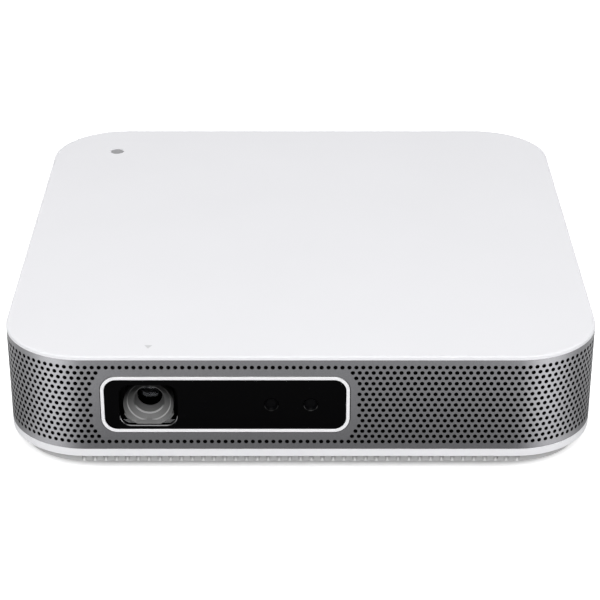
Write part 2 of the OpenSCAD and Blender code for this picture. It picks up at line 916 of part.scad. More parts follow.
module rear_panel() {
    plate_y0 = rear_y - 1.6;
    plate_y1 = rear_y - 0.5;
    color("#0f0f10") difference() {
        at_rear() {
            upright(plate_y0, plate_y1) rounded(rear_w - 0.8, bezel_h - 0.8, bezel_r - 0.4);
            difference() {
                union() {
                    upright(rear_y, rear_y + bezel_proud) rounded(rear_w, bezel_h, bezel_r);
                    upright(plate_y0, rear_y + eps)
                        rounded(rear_w - neck_gap - 0.2, bezel_h - neck_gap - 0.2, bezel_r - 0.3);
                }
                upright(plate_y0 - 1, rear_y + 1)
                    rounded(rear_w - 2 * bezel_ring, bezel_h - 2 * bezel_ring, bezel_r - bezel_ring);
            }
        }
        translate([dc_x, 0, dc_z]) rod_y(3.9, plate_y0 - 1, rear_y + 1);
        translate([jack_x, 0, jack_z]) rod_y(3.1, plate_y0 - 1, rear_y + 1);
        translate([hdmi_x, 0, hdmi_z]) upright(plate_y0 - 1, rear_y + 1) square([15.4, 6.2], center = true);
        translate([usb_x, 0, usb_z]) upright(plate_y0 - 1, rear_y + 1) square([13.7, 6.4], center = true);
    }
}

module dc_inlet() {
    color("#1b1b1c") translate([dc_x, 0, dc_z]) {
        difference() {
            union() {
                block([-4.5, rear_y - 15, -5.6], [4.5, rear_y - 2.5, 5]);
                rod_y(3.8, rear_y - 3, socket_end);
            }
            rod_y(2.9, rear_y - 10, rear_y);
        }
        rod_y(1, rear_y - 10 - eps, rear_y - 1);
    }
}

// Outline of the HDMI socket, narrower at the bottom
module hdmi_outline(grow) {
    polygon([
        [-7 - grow, 2.3 + grow], [7 + grow, 2.3 + grow], [7 + grow, -0.6 - grow / 2],
        [5.4 + grow / 2, -2.3 - grow], [-5.4 - grow / 2, -2.3 - grow], [-7 - grow, -0.6 - grow / 2]
    ]);
}

module hdmi_port() {
    color("silver") translate([hdmi_x, 0, hdmi_z]) {
        difference() {
            upright(socket_end - 12, socket_end) hdmi_outline(0.45);
            upright(socket_end - 10, socket_end + 1) hdmi_outline(0);
        }
        block([-5.5, socket_end - 10 - eps, -0.2], [5.5, socket_end - 2, 1]);
    }
}

module usb_port() {
    color("silver") translate([usb_x, 0, usb_z]) {
        difference() {
            upright(socket_end - 14, socket_end) square([13.1, 5.9], center = true);
            upright(socket_end - 12.5, socket_end + 1) square([12.5, 5.2], center = true);
        }
        block([-5.8, socket_end - 12.5 - eps, 0.1], [5.8, socket_end - 2, 1.9]);
    }
}

module audio_jack() {
    color("#1b1b1c") translate([jack_x, 0, jack_z]) difference() {
        union() {
            block([-3.5, rear_y - 14, -3], [3.5, rear_y - 2.5, 3]);
            rod_y(3, rear_y - 3, socket_end);
        }
        rod_y(1.8, rear_y - 12, rear_y);
    }
}

top_cover();
perforated_band();
inner_frame();
rear_frame();
left_frame();
right_frame();
base_cover();
slotted_plinth();
rubber_feet();
case_screws();
tripod_insert();
tilt_stand();
stand_brackets();
board_standoffs();
window_bezel();
front_window();
lens_hood();
autofocus_camera();
distance_sensor();
sensor_board();
lens_carriage();
front_lens();
rear_lens();
guide_rod();
focus_screw();
focus_motor();
focus_bracket();
optics_housing();
optics_lid();
relay_lens();
prism();
imaging_chip();
chip_board();
integrator_lens();
dichroic_mirror();
led_modules();
heat_spreader();
heat_pipes();
heat_sink();
blower_housing();
blower_cover();
blower_impeller();
main_board();
processor();
processor_heat_sink();
battery_cells();
battery_holder();
side_speaker_box();
side_speaker_driver();
rear_speaker_box();
rear_speaker_driver();
button_board();
power_button();
rear_panel();
dc_inlet();
hdmi_port();
usb_port();
audio_jack();
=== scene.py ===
# Looks of a compact projector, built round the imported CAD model. Lengths are in metres.
import json
import math

import bpy
import numpy as np
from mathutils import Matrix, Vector


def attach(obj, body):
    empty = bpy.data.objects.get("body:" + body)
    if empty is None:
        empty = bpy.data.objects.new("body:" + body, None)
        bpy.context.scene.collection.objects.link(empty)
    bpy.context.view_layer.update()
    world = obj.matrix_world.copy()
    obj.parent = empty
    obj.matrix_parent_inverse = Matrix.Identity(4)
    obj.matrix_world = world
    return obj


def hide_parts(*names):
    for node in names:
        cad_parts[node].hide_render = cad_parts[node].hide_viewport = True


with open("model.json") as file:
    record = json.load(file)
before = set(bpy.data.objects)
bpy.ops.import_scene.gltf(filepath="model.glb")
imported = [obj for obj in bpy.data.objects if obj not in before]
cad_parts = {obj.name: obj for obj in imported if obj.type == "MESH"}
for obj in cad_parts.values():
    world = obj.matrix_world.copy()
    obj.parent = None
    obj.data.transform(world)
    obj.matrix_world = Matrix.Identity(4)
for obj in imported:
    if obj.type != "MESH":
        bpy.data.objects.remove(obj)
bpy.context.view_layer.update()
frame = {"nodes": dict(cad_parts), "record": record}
mm = 0.001
tiny = 1e-6  # a smaller distance is only rounding
print("frame loaded with", len(frame["nodes"]), "CAD nodes")

case = {"half": 75 * mm, "corner": 21 * mm, "top": 32 * mm, "bandTop": 31 * mm, "stripTop": 5.7 * mm,
        "postX": 64 * mm, "postY": 44 * mm}
flatHalf = case["half"] - case["corner"]


# the camera, as the photo's perspective gives it

camera = {"lens": 114.54, "place": (0, -0.4871, 0.2544), "tilt": 62.44, "shift": (-0.00117, 0.0505)}


def addCamera():
    view = bpy.data.cameras.new("studioCamera")
    view.lens, view.sensor_width = camera["lens"], 36
    view.shift_x, view.shift_y = camera["shift"]
    view.clip_start, view.clip_end = 0.01, 20
    holder = bpy.data.objects.new("studioCamera", view)
    holder.location = camera["place"]
    holder.rotation_euler = (math.radians(camera["tilt"]), 0, 0)
    bpy.context.scene.collection.objects.link(holder)
    bpy.context.scene.camera = holder


addCamera()
bpy.context.scene.view_settings.view_transform = "Standard"


# helpers for materials

def opaque(tone):
    return tone if isinstance(tone, Wire) else (*tone[:3], 1)


class Wire:
    # a shader socket on which Python's own operators add Math nodes
    def __init__(self, paint, socket):
        self.paint, self.socket = paint, socket

    def maths(self, operation, *values):
        return self.paint.node("Math", {"operation": operation}, dict(enumerate(values)))

    def __add__(self, other):
        return self.maths("ADD", self, other)

    def __radd__(self, other):
        return self.maths("ADD", other, self)

    def __sub__(self, other):
        return self.maths("SUBTRACT", self, other)

    def __rsub__(self, other):
        return self.maths("SUBTRACT", other, self)

    def __mul__(self, other):
        return self.maths("MULTIPLY", self, other)

    def __rmul__(self, other):
        return self.maths("MULTIPLY", other, self)

    def __truediv__(self, other):
        return self.maths("DIVIDE", self, other)

    def __rtruediv__(self, other):
        return self.maths("DIVIDE", other, self)

    def __gt__(self, other):
        return self.maths("GREATER_THAN", self, other)

    def __lt__(self, other):
        return self.maths("LESS_THAN", self, other)

    def __abs__(self):
        return self.maths("ABSOLUTE", self)

    def root(self):
        return self.maths("SQRT", self)

    def over(self, level):
        # how far above a level, or 0
        return self.maths("MAXIMUM", self - level, 0)

    def limit(self):
        # held between 0 and 1
        return self.maths("MINIMUM", self.over(0), 1)

    def repeat(self, width):
        return self.maths("FLOORED_MODULO", self, width)


class Paint:
    # one node tree, of a material or of the world
    def __init__(self, tree):
        self.tree = tree
        tree.nodes.clear()

    def node(self, kind, settings=None, values=None, out=0):
        made = self.tree.nodes.new("ShaderNode" + kind)
        for key, value in (settings or {}).items():
            if key == "stops":
                stops = made.color_ramp.elements
                while len(stops) < len(value):
                    stops.new(0.5)
                for stop, (where, tone) in zip(stops, value):
                    stop.position, stop.color = where, opaque(tone)
            else:
                setattr(made, key, value)
        for key, value in (values or {}).items():
            socket = self.pick(made.inputs, key)
            if isinstance(value, Wire):
                self.tree.links.new(value.socket, socket)
            else:
                socket.default_value = value
        return Wire(self, None if out is None else self.pick(made.outputs, out))

    def pick(self, sockets, key):
        if isinstance(key, int):
            return sockets[key]
        return next((s for s in sockets if s.identifier == key), None) or sockets[key]

    def place(self):
        return self.node("TexCoord", out="Object")

    def noise(self, size, detail=2.0, place=None):
        # grain whose lumps are about size metres across
        values = {"Vector": place or self.place(), "Scale": 1 / size, "Detail": detail}
        return self.node("TexNoise", None, values, "Fac")

    def stretched(self, scale):
        return self.node("Mapping", None, {"Vector": self.place(), "Scale": scale})

    def axes(self):
        parts = self.node("SeparateXYZ", None, {0: self.place()})
        others = parts.socket.node.outputs
        return parts, Wire(self, others[1]), Wire(self, others[2])

    def blend(self, mask, first, second):
        values = {"Factor_Float": mask, "A_Color": opaque(first), "B_Color": opaque(second)}
        return self.node("Mix", {"data_type": "RGBA"}, values, "Result_Color")

    def tint(self, mask, tone, low, high):
        # one tone, from low to high times as bright
        return self.blend(mask, shade(tone, low), shade(tone, high))

    def rays(self, *kinds):
        outputs = self.node("LightPath", out="Is Camera Ray").socket.node.outputs
        return [Wire(self, outputs[kind]) for kind in kinds]

    def bump(self, height, depth):
        return self.node("Bump", None, {"Height": height, "Distance": depth})

    def finish(self, shader, target="OutputMaterial"):
        self.node(target, None, {"Surface": shader}, out=None)

    def principled(self, values):
        self.finish(self.node("BsdfPrincipled", None, values))


def startMaterial(name):
    material = bpy.data.materials.new(name)
    material.use_nodes = True
    return material, Paint(material.node_tree)


def shade(tone, factor):
    return tuple(min(1, part * factor) for part in tone[:3])


# world, lamps and floor

studio = {
    "ambient": 0.46,
    "mirrored": 0.13,
    "lamps": {
        # name: place, point it looks at, width, height, power,
        # whether it lights matt surfaces, whether glossy ones show it
        "topSoftbox": ((0, -0.3, 0.95), (0, 0, 0), 0.8, 0.8, 6.1, True, True),
        "frontFill": ((0, -1.2, 0.62), (0, 0, 0.02), 1.4, 0.5, 3.5, True, False),
        "leftStrip": ((-0.76, -0.65, 0.09), (0, 0, 0.02), 0.5, 0.16, 3.0, False, True),
        "rightStrip": ((0.79, -0.61, 0.09), (0, 0, 0.02), 0.5, 0.16, 3.0, False, True),
    },
    "floorSize": 6,
    "floorTone": (0.8, 0.8, 0.8),
    "floorGlow": 0.12,
    # the contact shadow: its outline is rounder than the case's and lies a little in front of it
    "shadowFlat": 47 * mm,
    "shadowForward": 1.5 * mm,
    "whiteFrom": -5.1 * mm,
    "whiteOver": 9.4 * mm,
    # how bright the floor is where metal and gloss mirror it: beside the case and farther out
    "mirroredNear": 0.45,
    "mirroredFar": 1.15,
    "mirroredOver": 50 * mm,
    # what its front corners add, the share of that next to the case, and its lean towards the sides
    "mirroredCorner": 2.2,
    "cornerNear": 0.7,
    "cornerLean": 1.3,
}


def buildStudio():
    world = bpy.data.worlds.new("studioWorld")
    world.use_nodes = True
    bpy.context.scene.world = world
    paint = Paint(world.node_tree)
    seen, mirrored = paint.rays("Is Camera Ray", "Is Glossy Ray")
    usual = studio["ambient"]
    strength = usual + seen * (1 - usual) + mirrored * (studio["mirrored"] - usual)
    paint.finish(paint.node("Background", None, {"Color": (1, 1, 1, 1), "Strength": strength}), "OutputWorld")

    for name, (place, target, width, height, power, matt, gloss) in studio["lamps"].items():
        lamp = bpy.data.lights.new(name, "AREA")
        lamp.shape, lamp.size, lamp.size_y, lamp.energy = "RECTANGLE", width, height, power
        holder = bpy.data.objects.new(name, lamp)
        holder.location = place
        holder.rotation_euler = (Vector(target) - Vector(place)).to_track_quat("-Z", "Y").to_euler()
        holder.visible_diffuse, holder.visible_glossy = matt, gloss
        bpy.context.scene.collection.objects.link(holder)

    # the floor keeps the object's shadow and turns white farther out
    bpy.ops.object.select_all(action="DESELECT")
    bpy.ops.mesh.primitive_plane_add(size=studio["floorSize"])
    floor = bpy.context.object
    floor.name = "studioFloor"
    material, paint = startMaterial("studioFloor")
    seen, mirrored = paint.rays("Is Camera Ray", "Is Glossy Ray")
    across, along, _ = paint.axes()
    beside, ahead = abs(across).over(flatHalf), (along * -1).over(flatHalf)
    reach = beside * beside + ahead * ahead
    leaned = beside * studio["cornerLean"]
    corner = leaned * ahead * 2 / (leaned * leaned + ahead * ahead + 1e-9)  # never a division by 0
    far = ((reach.root() - case["corner"]) / studio["mirroredOver"]).limit()
    shown = studio["mirroredNear"] + far * (studio["mirroredFar"] - studio["mirroredNear"])
    spread = studio["cornerNear"] + far * (1 - studio["cornerNear"])
    shown = shown + corner * corner * spread * studio["mirroredCorner"]
    # distance from an outline like the case's, but rounder and a little farther forward
    flat = studio["shadowFlat"]
    across, along = abs(across).over(flat), abs(along + studio["shadowForward"]).over(flat)
    away = (across * across + along * along).root() - (case["half"] - flat)
    tone = paint.blend(mirrored, studio["floorTone"], (0, 0, 0))
    white = ((away - studio["whiteFrom"]) / studio["whiteOver"]).limit()
    glow = seen * (studio["floorGlow"] + white * (1 - studio["floorGlow"])) + mirrored * shown
    paint.finish(paint.node("AddShader", None, {
        0: paint.node("BsdfDiffuse", None, {"Color": tone}),
        1: paint.node("Emission", None, {"Strength": glow}),
    }))
    floor.data.materials.append(material)
    print("studio ready")


buildStudio()


# helpers for modelling

def onlySelect(obj):
    if bpy.context.object and bpy.context.object.mode != "OBJECT":
        bpy.ops.object.mode_set(mode="OBJECT")
    bpy.ops.object.select_all(action="DESELECT")
    obj.select_set(True)
    bpy.context.view_layer.objects.active = obj


def settle(obj, name):
    # names the new primitive and moves its place into its mesh
    onlySelect(obj)
    obj.name = obj.data.name = name
    bpy.ops.object.transform_apply(location=True, rotation=True, scale=True)
    return obj


def addBlock(name, low, high):
    bpy.ops.object.select_all(action="DESELECT")
    bpy.ops.mesh.primitive_cube_add(size=1, location=[(a + b) / 2 for a, b in zip(low, high)])
    obj = bpy.context.object
    obj.scale = [b - a for a, b in zip(low, high)]
    return settle(obj, name)


def addRod(name, centre, radius, length, turn, sides):
    bpy.ops.object.select_all(action="DESELECT")
    bpy.ops.mesh.primitive_cylinder_add(vertices=sides, radius=radius, depth=length, location=centre,
                                        rotation=turn)
    return settle(bpy.context.object, name)


def addPost(name, spot, low, high, radius, sides=64):
    # upright cylinder between two heights
    return addRod(name, (*spot, (low + high) / 2), radius, high - low, (0, 0, 0), sides)


def addBar(name, x, z, start, end, radius, sides=64):
    # level cylinder between two places on Y
    return addRod(name, (x, (start + end) / 2, z), radius, end - start, (math.pi / 2, 0, 0), sides)


def openPart(obj, kind, mask):
    # edit mode with only the edges or faces selected that mask is true for
    onlySelect(obj)
    bpy.ops.object.mode_set(mode="EDIT")
    bpy.ops.mesh.select_mode(type=kind)
    bpy.ops.mesh.select_all(action="DESELECT")
    closeEdit()
    {"EDGE": obj.data.edges, "FACE": obj.data.polygons}[kind].foreach_set("select", mask)
    bpy.ops.object.mode_set(mode="EDIT")


def openFaces(obj, wanted):
    # the faces for which wanted(centre, normal) holds
    openPart(obj, "FACE", [bool(wanted(face.center, face.normal)) for face in obj.data.polygons])


def openEdges(obj, wanted):
    # the edges for which wanted(start, end) holds
    points = obj.data.vertices
    openPart(obj, "EDGE", [bool(wanted(*(points[i].co for i in edge.vertices))) for edge in obj.data.edges])


def openAll(obj):
    onlySelect(obj)
    bpy.ops.object.mode_set(mode="EDIT")
    bpy.ops.mesh.select_all(action="SELECT")


def turnOutwards():
    bpy.ops.mesh.select_all(action="SELECT")
    bpy.ops.mesh.normals_make_consistent(inside=False)


def closeEdit():
    bpy.ops.object.mode_set(mode="OBJECT")


def insetFaces(obj, wanted, width):
    openFaces(obj, wanted)
    bpy.ops.mesh.inset(thickness=width)
    closeEdit()


def bevelEdges(obj, wanted, width, segments):
    openEdges(obj, wanted)
    bpy.ops.mesh.bevel(offset=width, segments=segments, affect="EDGES")
    closeEdit()


def extrudeBy(*move):
    bpy.ops.mesh.extrude_region_move(TRANSFORM_OT_translate={"value": move})


def applyChange(obj, kind, **settings):
    # adds a modifier and applies it
    onlySelect(obj)
    change = obj.modifiers.new(kind.lower(), kind)
    for key, value in settings.items():
        setattr(change, key, value)
    bpy.ops.object.modifier_apply(modifier=change.name)
    return obj


def combine(obj, tool, operation="DIFFERENCE"):
    applyChange(obj, "BOOLEAN", operation=operation, solver="EXACT", object=tool)
    bpy.data.objects.remove(tool)
    return obj


def copyOf(obj, name, move=(0, 0, 0)):
    twin = obj.copy()
    twin.data = obj.data.copy()
    twin.name = twin.data.name = name
    bpy.context.scene.collection.objects.link(twin)
    twin.location = move
    return settle(twin, name)


def joinAll(pieces, name):
    onlySelect(pieces[0])
    for piece in pieces:
        piece.select_set(True)
    if len(pieces) > 1:
        bpy.ops.object.join()
    pieces[0].name = pieces[0].data.name = name
    return pieces[0]


def mergeDoubles(obj, distance=0.002 * mm):
    openAll(obj)
    bpy.ops.mesh.remove_doubles(threshold=distance)
    closeEdit()


def roundedSlab(name, low, high, radius, axis, segments):
    # box whose four edges along axis are rounded
    obj = addBlock(name, low, high)
    way = "XYZ".index(axis)
    bevelEdges(obj, lambda a, b: abs(a[way] - b[way]) > tiny, radius, segments)
    return obj


def softenEdges(obj, width, segments=3, angle=50):
    # rounds every sharp edge, then shades the flats flat and the rounds smooth
    applyChange(obj, "BEVEL", width=width, segments=segments, limit_method="ANGLE",
                angle_limit=math.radians(angle), use_clamp_overlap=True)
    return shadeSmooth(obj)


def shadeSmooth(obj, angle=40):
    onlySelect(obj)
    bpy.ops.object.shade_smooth_by_angle(angle=math.radians(angle))
    return applyChange(obj, "WEIGHTED_NORMAL", keep_sharp=True, weight=100)


def place(obj, body, slotName, *nodes):
    # paints a finished piece, hangs it on its body and lets it stand for its CAD nodes
    obj.data.materials.clear()
    obj.data.materials.append(finishes[slotName])
    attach(obj, body)
    if nodes:
        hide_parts(*nodes)
    return obj


def wear(obj, materials):
    # swaps a piece's own finish for others
    obj.data.materials.clear()
    for material in materials:
        obj.data.materials.append(material)


# finishes, one for each material slot of the record

def bandMetal(name, look):
    # satin sheet with a fine sparkle outside, and painted shade inside its holes
    material, paint = startMaterial(name)
    sparkle = paint.noise(look["grain"], 3)
    cloud = paint.noise(15 * mm, 2)
    across, along, _ = paint.axes()
    across, along = abs(across).over(flatHalf), abs(along).over(flatHalf)
    # painted shade: the hole walls and the back of the sheet, more than 0.06 mm in from its face, are near
    # black and not metal
    inside = (across * across + along * along).root() < case["corner"] - 0.06 * mm
    sheen = paint.tint(sparkle, look["tone"], 1 - look["spread"], 1 + look["spread"])
    paint.principled({
        "Base Color": paint.blend(inside, sheen, (0.002, 0.002, 0.002)),
        "Metallic": 1 - inside,
        "Roughness": look["rough"] + (sparkle - 0.5) * 0.2 + (cloud - 0.5) * 0.06,
        "Normal": paint.bump(sparkle, 0.006 * mm),
    })
    return material


def mouldedPlastic(name, tone, rough=0.45, grain=0.25 * mm, depth=0.004 * mm, shine=0.5):
    material, paint = startMaterial(name)
    cloud = paint.noise(30 * mm, 3)
    fine = paint.noise(grain, 2)
    paint.principled({
        "Base Color": paint.tint(cloud, tone, 0.985, 1.01),
        "Roughness": rough + (fine - 0.5) * 0.12 + (cloud - 0.5) * 0.05,
        "Specular IOR Level": shine,
        "Normal": paint.bump(fine, depth),
    })
    return material


def paintedLightByHeight(name, low, high, below, above, rough):
    # painted light and shade: plastic whose colour goes from one tone below a height to another above it
    material, paint = startMaterial(name)
    fine = paint.noise(0.25 * mm, 2)
    share = ((paint.axes()[2] - low) / (high - low)).limit()
    paint.principled({
        "Base Color": paint.blend(share, (below,) * 3, (above,) * 3),
        "Roughness": rough + (fine - 0.5) * 0.12,
        "Specular IOR Level": 0.05,
        "Normal": paint.bump(fine, 0.003 * mm),
    })
    return material


def glossPanel(name, tone):
    # deep black panel: hardly any grain, a faint haze in the polish
    material, paint = startMaterial(name)
    haze = paint.noise(12 * mm, 4)
    paint.principled({
        "Base Color": paint.tint(haze, tone, 0.9, 1.1),
        "Roughness": 0.16 + (haze - 0.5) * 0.08,
        "Specular IOR Level": 0.02,
    })
    return material


def groundEdge(name, tone):
    # ground rim of the window's openings, which mirrors the lamps
    material, paint = startMaterial(name)
    grind = paint.noise(0.2 * mm, 2)
    paint.principled({
        "Base Color": paint.tint(grind, tone, 0.9, 1.1),
        "Metallic": 1.0,
        "Roughness": 0.32 + grind * 0.06,
    })
    return material


def speckledMetal(name, tone, rough, grain, spread, depth):
    # cast metal: a sparkle of light and dark grains
    material, paint = startMaterial(name)
    sparkle = paint.noise(grain, 3)
    cloud = paint.noise(15 * mm, 2)
    paint.principled({
        "Base Color": paint.tint(sparkle, tone, 1 - spread, 1 + spread),
        "Metallic": 1.0,
        "Roughness": rough + (sparkle - 0.5) * 0.2 + (cloud - 0.5) * 0.06,
        "Normal": paint.bump(sparkle, depth),
    })
    return material


def drawnMetal(name, tone, rough, stretch=(1, 0.04, 1)):
    # rolled or drawn metal: fine lines along one axis
    material, paint = startMaterial(name)
    lines = paint.noise(0.15 * mm, 3, paint.stretched(stretch))
    cloud = paint.noise(8 * mm, 2)
    paint.principled({
        "Base Color": paint.tint(lines, tone, 0.88, 1.08),
        "Metallic": 1.0,
        "Roughness": rough + (lines - 0.5) * 0.16 + (cloud - 0.5) * 0.1,
        "Normal": paint.bump(lines, 0.003 * mm),
    })
    return material


def footRubber(name, tone):
    material, paint = startMaterial(name)
    pores = paint.noise(0.35 * mm, 4)
    dust = paint.noise(5 * mm, 3)
    paint.principled({
        "Base Color": paint.tint(dust, tone, 1, 1.5),
        "Roughness": 0.82 + (pores - 0.5) * 0.15,
        "Specular IOR Level": 0.3,
        "Normal": paint.bump(pores, 0.03 * mm),
    })
    return material


def coatedGlass(name, tone):
    material, paint = startMaterial(name)
    haze = paint.noise(3 * mm, 2)
    paint.principled({
        "Base Color": paint.tint(haze, tone, 0.96, 1.0),
        "Roughness": 0.02 + haze * 0.02,
        "IOR": 1.52,
        "Specular IOR Level": 0.03,
        "Transmission Weight": 1.0,
    })
    return material


def circuitBoard(name, tone):
    # solder mask over copper tracks, with bare pads on a grid
    material, paint = startMaterial(name)
    across, along, _ = paint.axes()
    trackStep, padStep = 0.9 * mm, 2.54 * mm
    wander = paint.noise(6 * mm, 1)
    track = (((across + along * 0.3) / trackStep + wander * 5).repeat(1) < 0.42) * (wander > 0.47)
    spotX, spotY = (across / padStep).repeat(1) - 0.5, (along / padStep).repeat(1) - 0.5
    pad = (spotX * spotX + spotY * spotY < 0.03) * (wander < 0.45)
    mask = paint.blend(track, tone, shade(tone, 1.7))
    paint.principled({
        "Base Color": paint.blend(pad, mask, (0.75, 0.6, 0.3)),
        "Metallic": pad,
        "Roughness": 0.35 + wander * 0.1,
        "Normal": paint.bump(track + pad, 0.03 * mm),
    })
    return material


def pressedPaper(name, tone):
    material, paint = startMaterial(name)
    fibre = paint.noise(0.5 * mm, 5, paint.stretched((1, 0.5, 2)))
    paint.principled({
        "Base Color": paint.tint(fibre, tone, 0.7, 1.4),
        "Roughness": 0.9,
        "Normal": paint.bump(fibre, 0.05 * mm),
    })
    return material


def shrinkWrap(name, tone):
    # creased film with one pale stripe round the cells
    material, paint = startMaterial(name)
    stripe = abs(paint.axes()[1] + 35 * mm) < 1.5 * mm
    crease = paint.noise(2 * mm, 3, paint.stretched((1, 0.15, 1)))
    film = paint.tint(crease, tone, 0.9, 1.1)
    paint.principled({
        "Base Color": paint.blend(stripe, film, (0.7, 0.7, 0.72)),
        "Roughness": 0.25 + crease * 0.15,
        "Normal": paint.bump(crease, 0.05 * mm),
    })
    return material


finishes = {
    "white_shell": mouldedPlastic("whiteShell", (0.86, 0.86, 0.885), 0.5, shine=0.4),
    "band_metal": bandMetal("bandMetal", {"tone": (0.19, 0.19, 0.198), "spread": 0.2, "rough": 0.37,
                                          "grain": 0.35 * mm}),
    "black_frame": mouldedPlastic("blackFrame", (0.003, 0.003, 0.0033), 0.7, shine=0.02),
    "grey_trim": mouldedPlastic("greyTrim", (0.5, 0.5, 0.51), 0.55),
    "foot_rubber": footRubber("footRubber", (0.03, 0.03, 0.032)),
    "steel": drawnMetal("steel", (0.6, 0.6, 0.62), 0.28),
    "brass": drawnMetal("brass", (0.78, 0.57, 0.25), 0.28, (0.04, 0.04, 1)),
    "window_gloss": glossPanel("windowGloss", (0.0012, 0.0012, 0.0014)),
    "bezel_white": mouldedPlastic("bezelWhite", (0.9, 0.9, 0.92), 0.35, depth=0.001 * mm),
    "hood_grey": mouldedPlastic("hoodGrey", (0.11, 0.11, 0.11), 0.6, depth=0.003 * mm, shine=0.2),
    "sensor_grey": glossPanel("sensorGrey", (0.0026, 0.0026, 0.003)),
    "board_green": circuitBoard("boardGreen", (0.015, 0.09, 0.04)),
    "optic_glass": coatedGlass("opticGlass", (0.5, 0.52, 0.56)),
    "cast_alloy": speckledMetal("castAlloy", (0.45, 0.45, 0.46), 0.55, 0.8 * mm, 0.12, 0.04 * mm),
    "fin_alloy": drawnMetal("finAlloy", (0.72, 0.72, 0.74), 0.35, (1, 1, 0.04)),
    "copper": drawnMetal("copper", (0.75, 0.38, 0.22), 0.3),
    "fan_black": mouldedPlastic("fanBlack", (0.02, 0.02, 0.022), 0.5),
    "chip_black": mouldedPlastic("chipBlack", (0.012, 0.012, 0.014), 0.6, 0.15 * mm),
    "cell_wrap": shrinkWrap("cellWrap", (0.03, 0.1, 0.3)),
    "button_grey": mouldedPlastic("buttonGrey", (0.38, 0.38, 0.39), 0.4),
    "cone_paper": pressedPaper("conePaper", (0.03, 0.03, 0.03)),
    "light_source": mouldedPlastic("lightSource", (0.75, 0.66, 0.2), 0.5),
}

for row in frame["record"]["subparts"]:
    node = frame["nodes"][row["node"]]
    node.data.materials.clear()
    node.data.materials.append(finishes[row["material_slot"]])
print("finishes ready")


# lid

overlap = 0.1 * mm  # how far a piece that is joined on reaches into the other
lid = {"edge": 0.4 * mm, "rim": 0.4 * mm, "seat": 30.4 * mm, "seatInset": 0.6 * mm,
       "pegRadius": 1.5 * mm, "pegLength": 4 * mm,
       "ribs": [x * mm for x in range(-40, 41, 20)], "ribHalf": 0.6 * mm, "ribDepth": 0.8 * mm,
       "ribFront": -60 * mm, "ribBack": 48 * mm,
       "button": (-56.3 * mm, 57.8 * mm), "buttonHole": 1.95 * mm, "holeLow": 29 * mm, "holeRound": 0.12 * mm,
       "mark": (-37.8 * mm, -69.5 * mm), "markSize": 1.15 * mm, "markRound": 0.12 * mm,
       "markDepth": 0.1 * mm, "markGap": 0.03 * mm, "markSunk": 0.01 * mm}
posts = [(x, y) for x in (-case["postX"], case["postX"]) for y in (-case["postY"], case["postY"])]
markFinish = mouldedPlastic("markGrey", (0.66, 0.66, 0.675), 0.5)


def caseSlab(name, inset, low, high):
    reach = case["half"] - inset
    return roundedSlab(name, (-reach, -reach, low), (reach, reach, high), case["corner"] - inset, "Z", 48)


def triangleMark(name, grow, high):
    # small triangle that points at the lens
    low = case["top"] - lid["markDepth"]
    bpy.ops.object.select_all(action="DESELECT")
    bpy.ops.mesh.primitive_cylinder_add(vertices=3, radius=lid["markSize"] + grow, depth=high - low,
                                        location=(*lid["mark"], (low + high) / 2), rotation=(0, 0, math.pi))
    mark = settle(bpy.context.object, name)
    bevelEdges(mark, lambda a, b: abs(a.x - b.x) < tiny and abs(a.y - b.y) < tiny, lid["markRound"], 3)
    return mark


def buildLid():
    cover = caseSlab("topCover", 0, case["bandTop"], case["top"])
    # the seat that drops inside the band is drawn out of the lid's underside
    openFaces(cover, lambda centre, normal: normal.z < -0.9)
    bpy.ops.mesh.inset(thickness=lid["seatInset"])
    extrudeBy(0, 0, lid["seat"] - case["bandTop"])
    closeEdit()
    top = case["top"] - tiny
    bevelEdges(cover, lambda a, b: a.z > top and b.z > top, lid["edge"], 5)
    insetFaces(cover, lambda centre, normal: normal.z > 0.999 and centre.z > top, lid["rim"])
    for spot in posts:
        low, high = lid["seat"] - lid["pegLength"], lid["seat"] + 2 * overlap
        combine(cover, addPost("peg", spot, low, high, lid["pegRadius"], 24), "UNION")
    for x in lid["ribs"]:
        rib = addBlock("rib", (x - lid["ribHalf"], lid["ribFront"], lid["seat"] - lid["ribDepth"]),
                       (x + lid["ribHalf"], lid["ribBack"], lid["seat"] + overlap))
        combine(cover, rib, "UNION")
    above = case["top"] + mm
    combine(cover, addPost("buttonHole", lid["button"], lid["holeLow"], above, lid["buttonHole"], 48))
    x, y = lid["button"]

    def onRim(point):
        return point.z > top and abs(math.hypot(point.x - x, point.y - y) - lid["buttonHole"]) < 0.05 * mm

    bevelEdges(cover, lambda a, b: onRim(a) and onRim(b), lid["holeRound"], 2)
    combine(cover, triangleMark("markGroove", lid["markGap"], above))
    place(shadeSmooth(cover), "housing", "white_shell", "top_cover")
    inlay = triangleMark("lensMark", 0, case["top"] - lid["markSunk"])
    place(shadeSmooth(inlay), "housing", "grey_trim")
    wear(inlay, [markFinish])
    print("lid done")


buildLid()


# perforated band

band = {"flatCells": 63, "cornerCells": 19, "rows": 15, "rowStep": 1.51 * mm, "firstRow": 28.97 * mm,
        "hole": 0.55 * mm, "holeSides": 12, "sheet": 0.5 * mm, "clear": 2.3 * mm,
        "cutOut": 2 * mm, "cutIn": 3 * mm,
        # name: first cell, number of cells, side whose opening is cut out
        "strips": {"bandFront": (-19, 101, 0), "bandRight": (82, 63, None), "bandRear": (145, 101, 2),
                   "bandLeft": (246, 63, None)}}
openings = {
    # side of the case: middle along that side, width, height, corner radius
    0: (-18.75 * mm, 61.9 * mm, 15.7 * mm, 4 * mm),
    2: (-20 * mm, 60 * mm, 15.7 * mm, 4 * mm),
}
openingZ = 18.5 * mm
seamGap = 0.2 * mm
cellWidth = 2 * flatHalf / band["flatCells"]
sideCells = band["flatCells"] + band["cornerCells"]


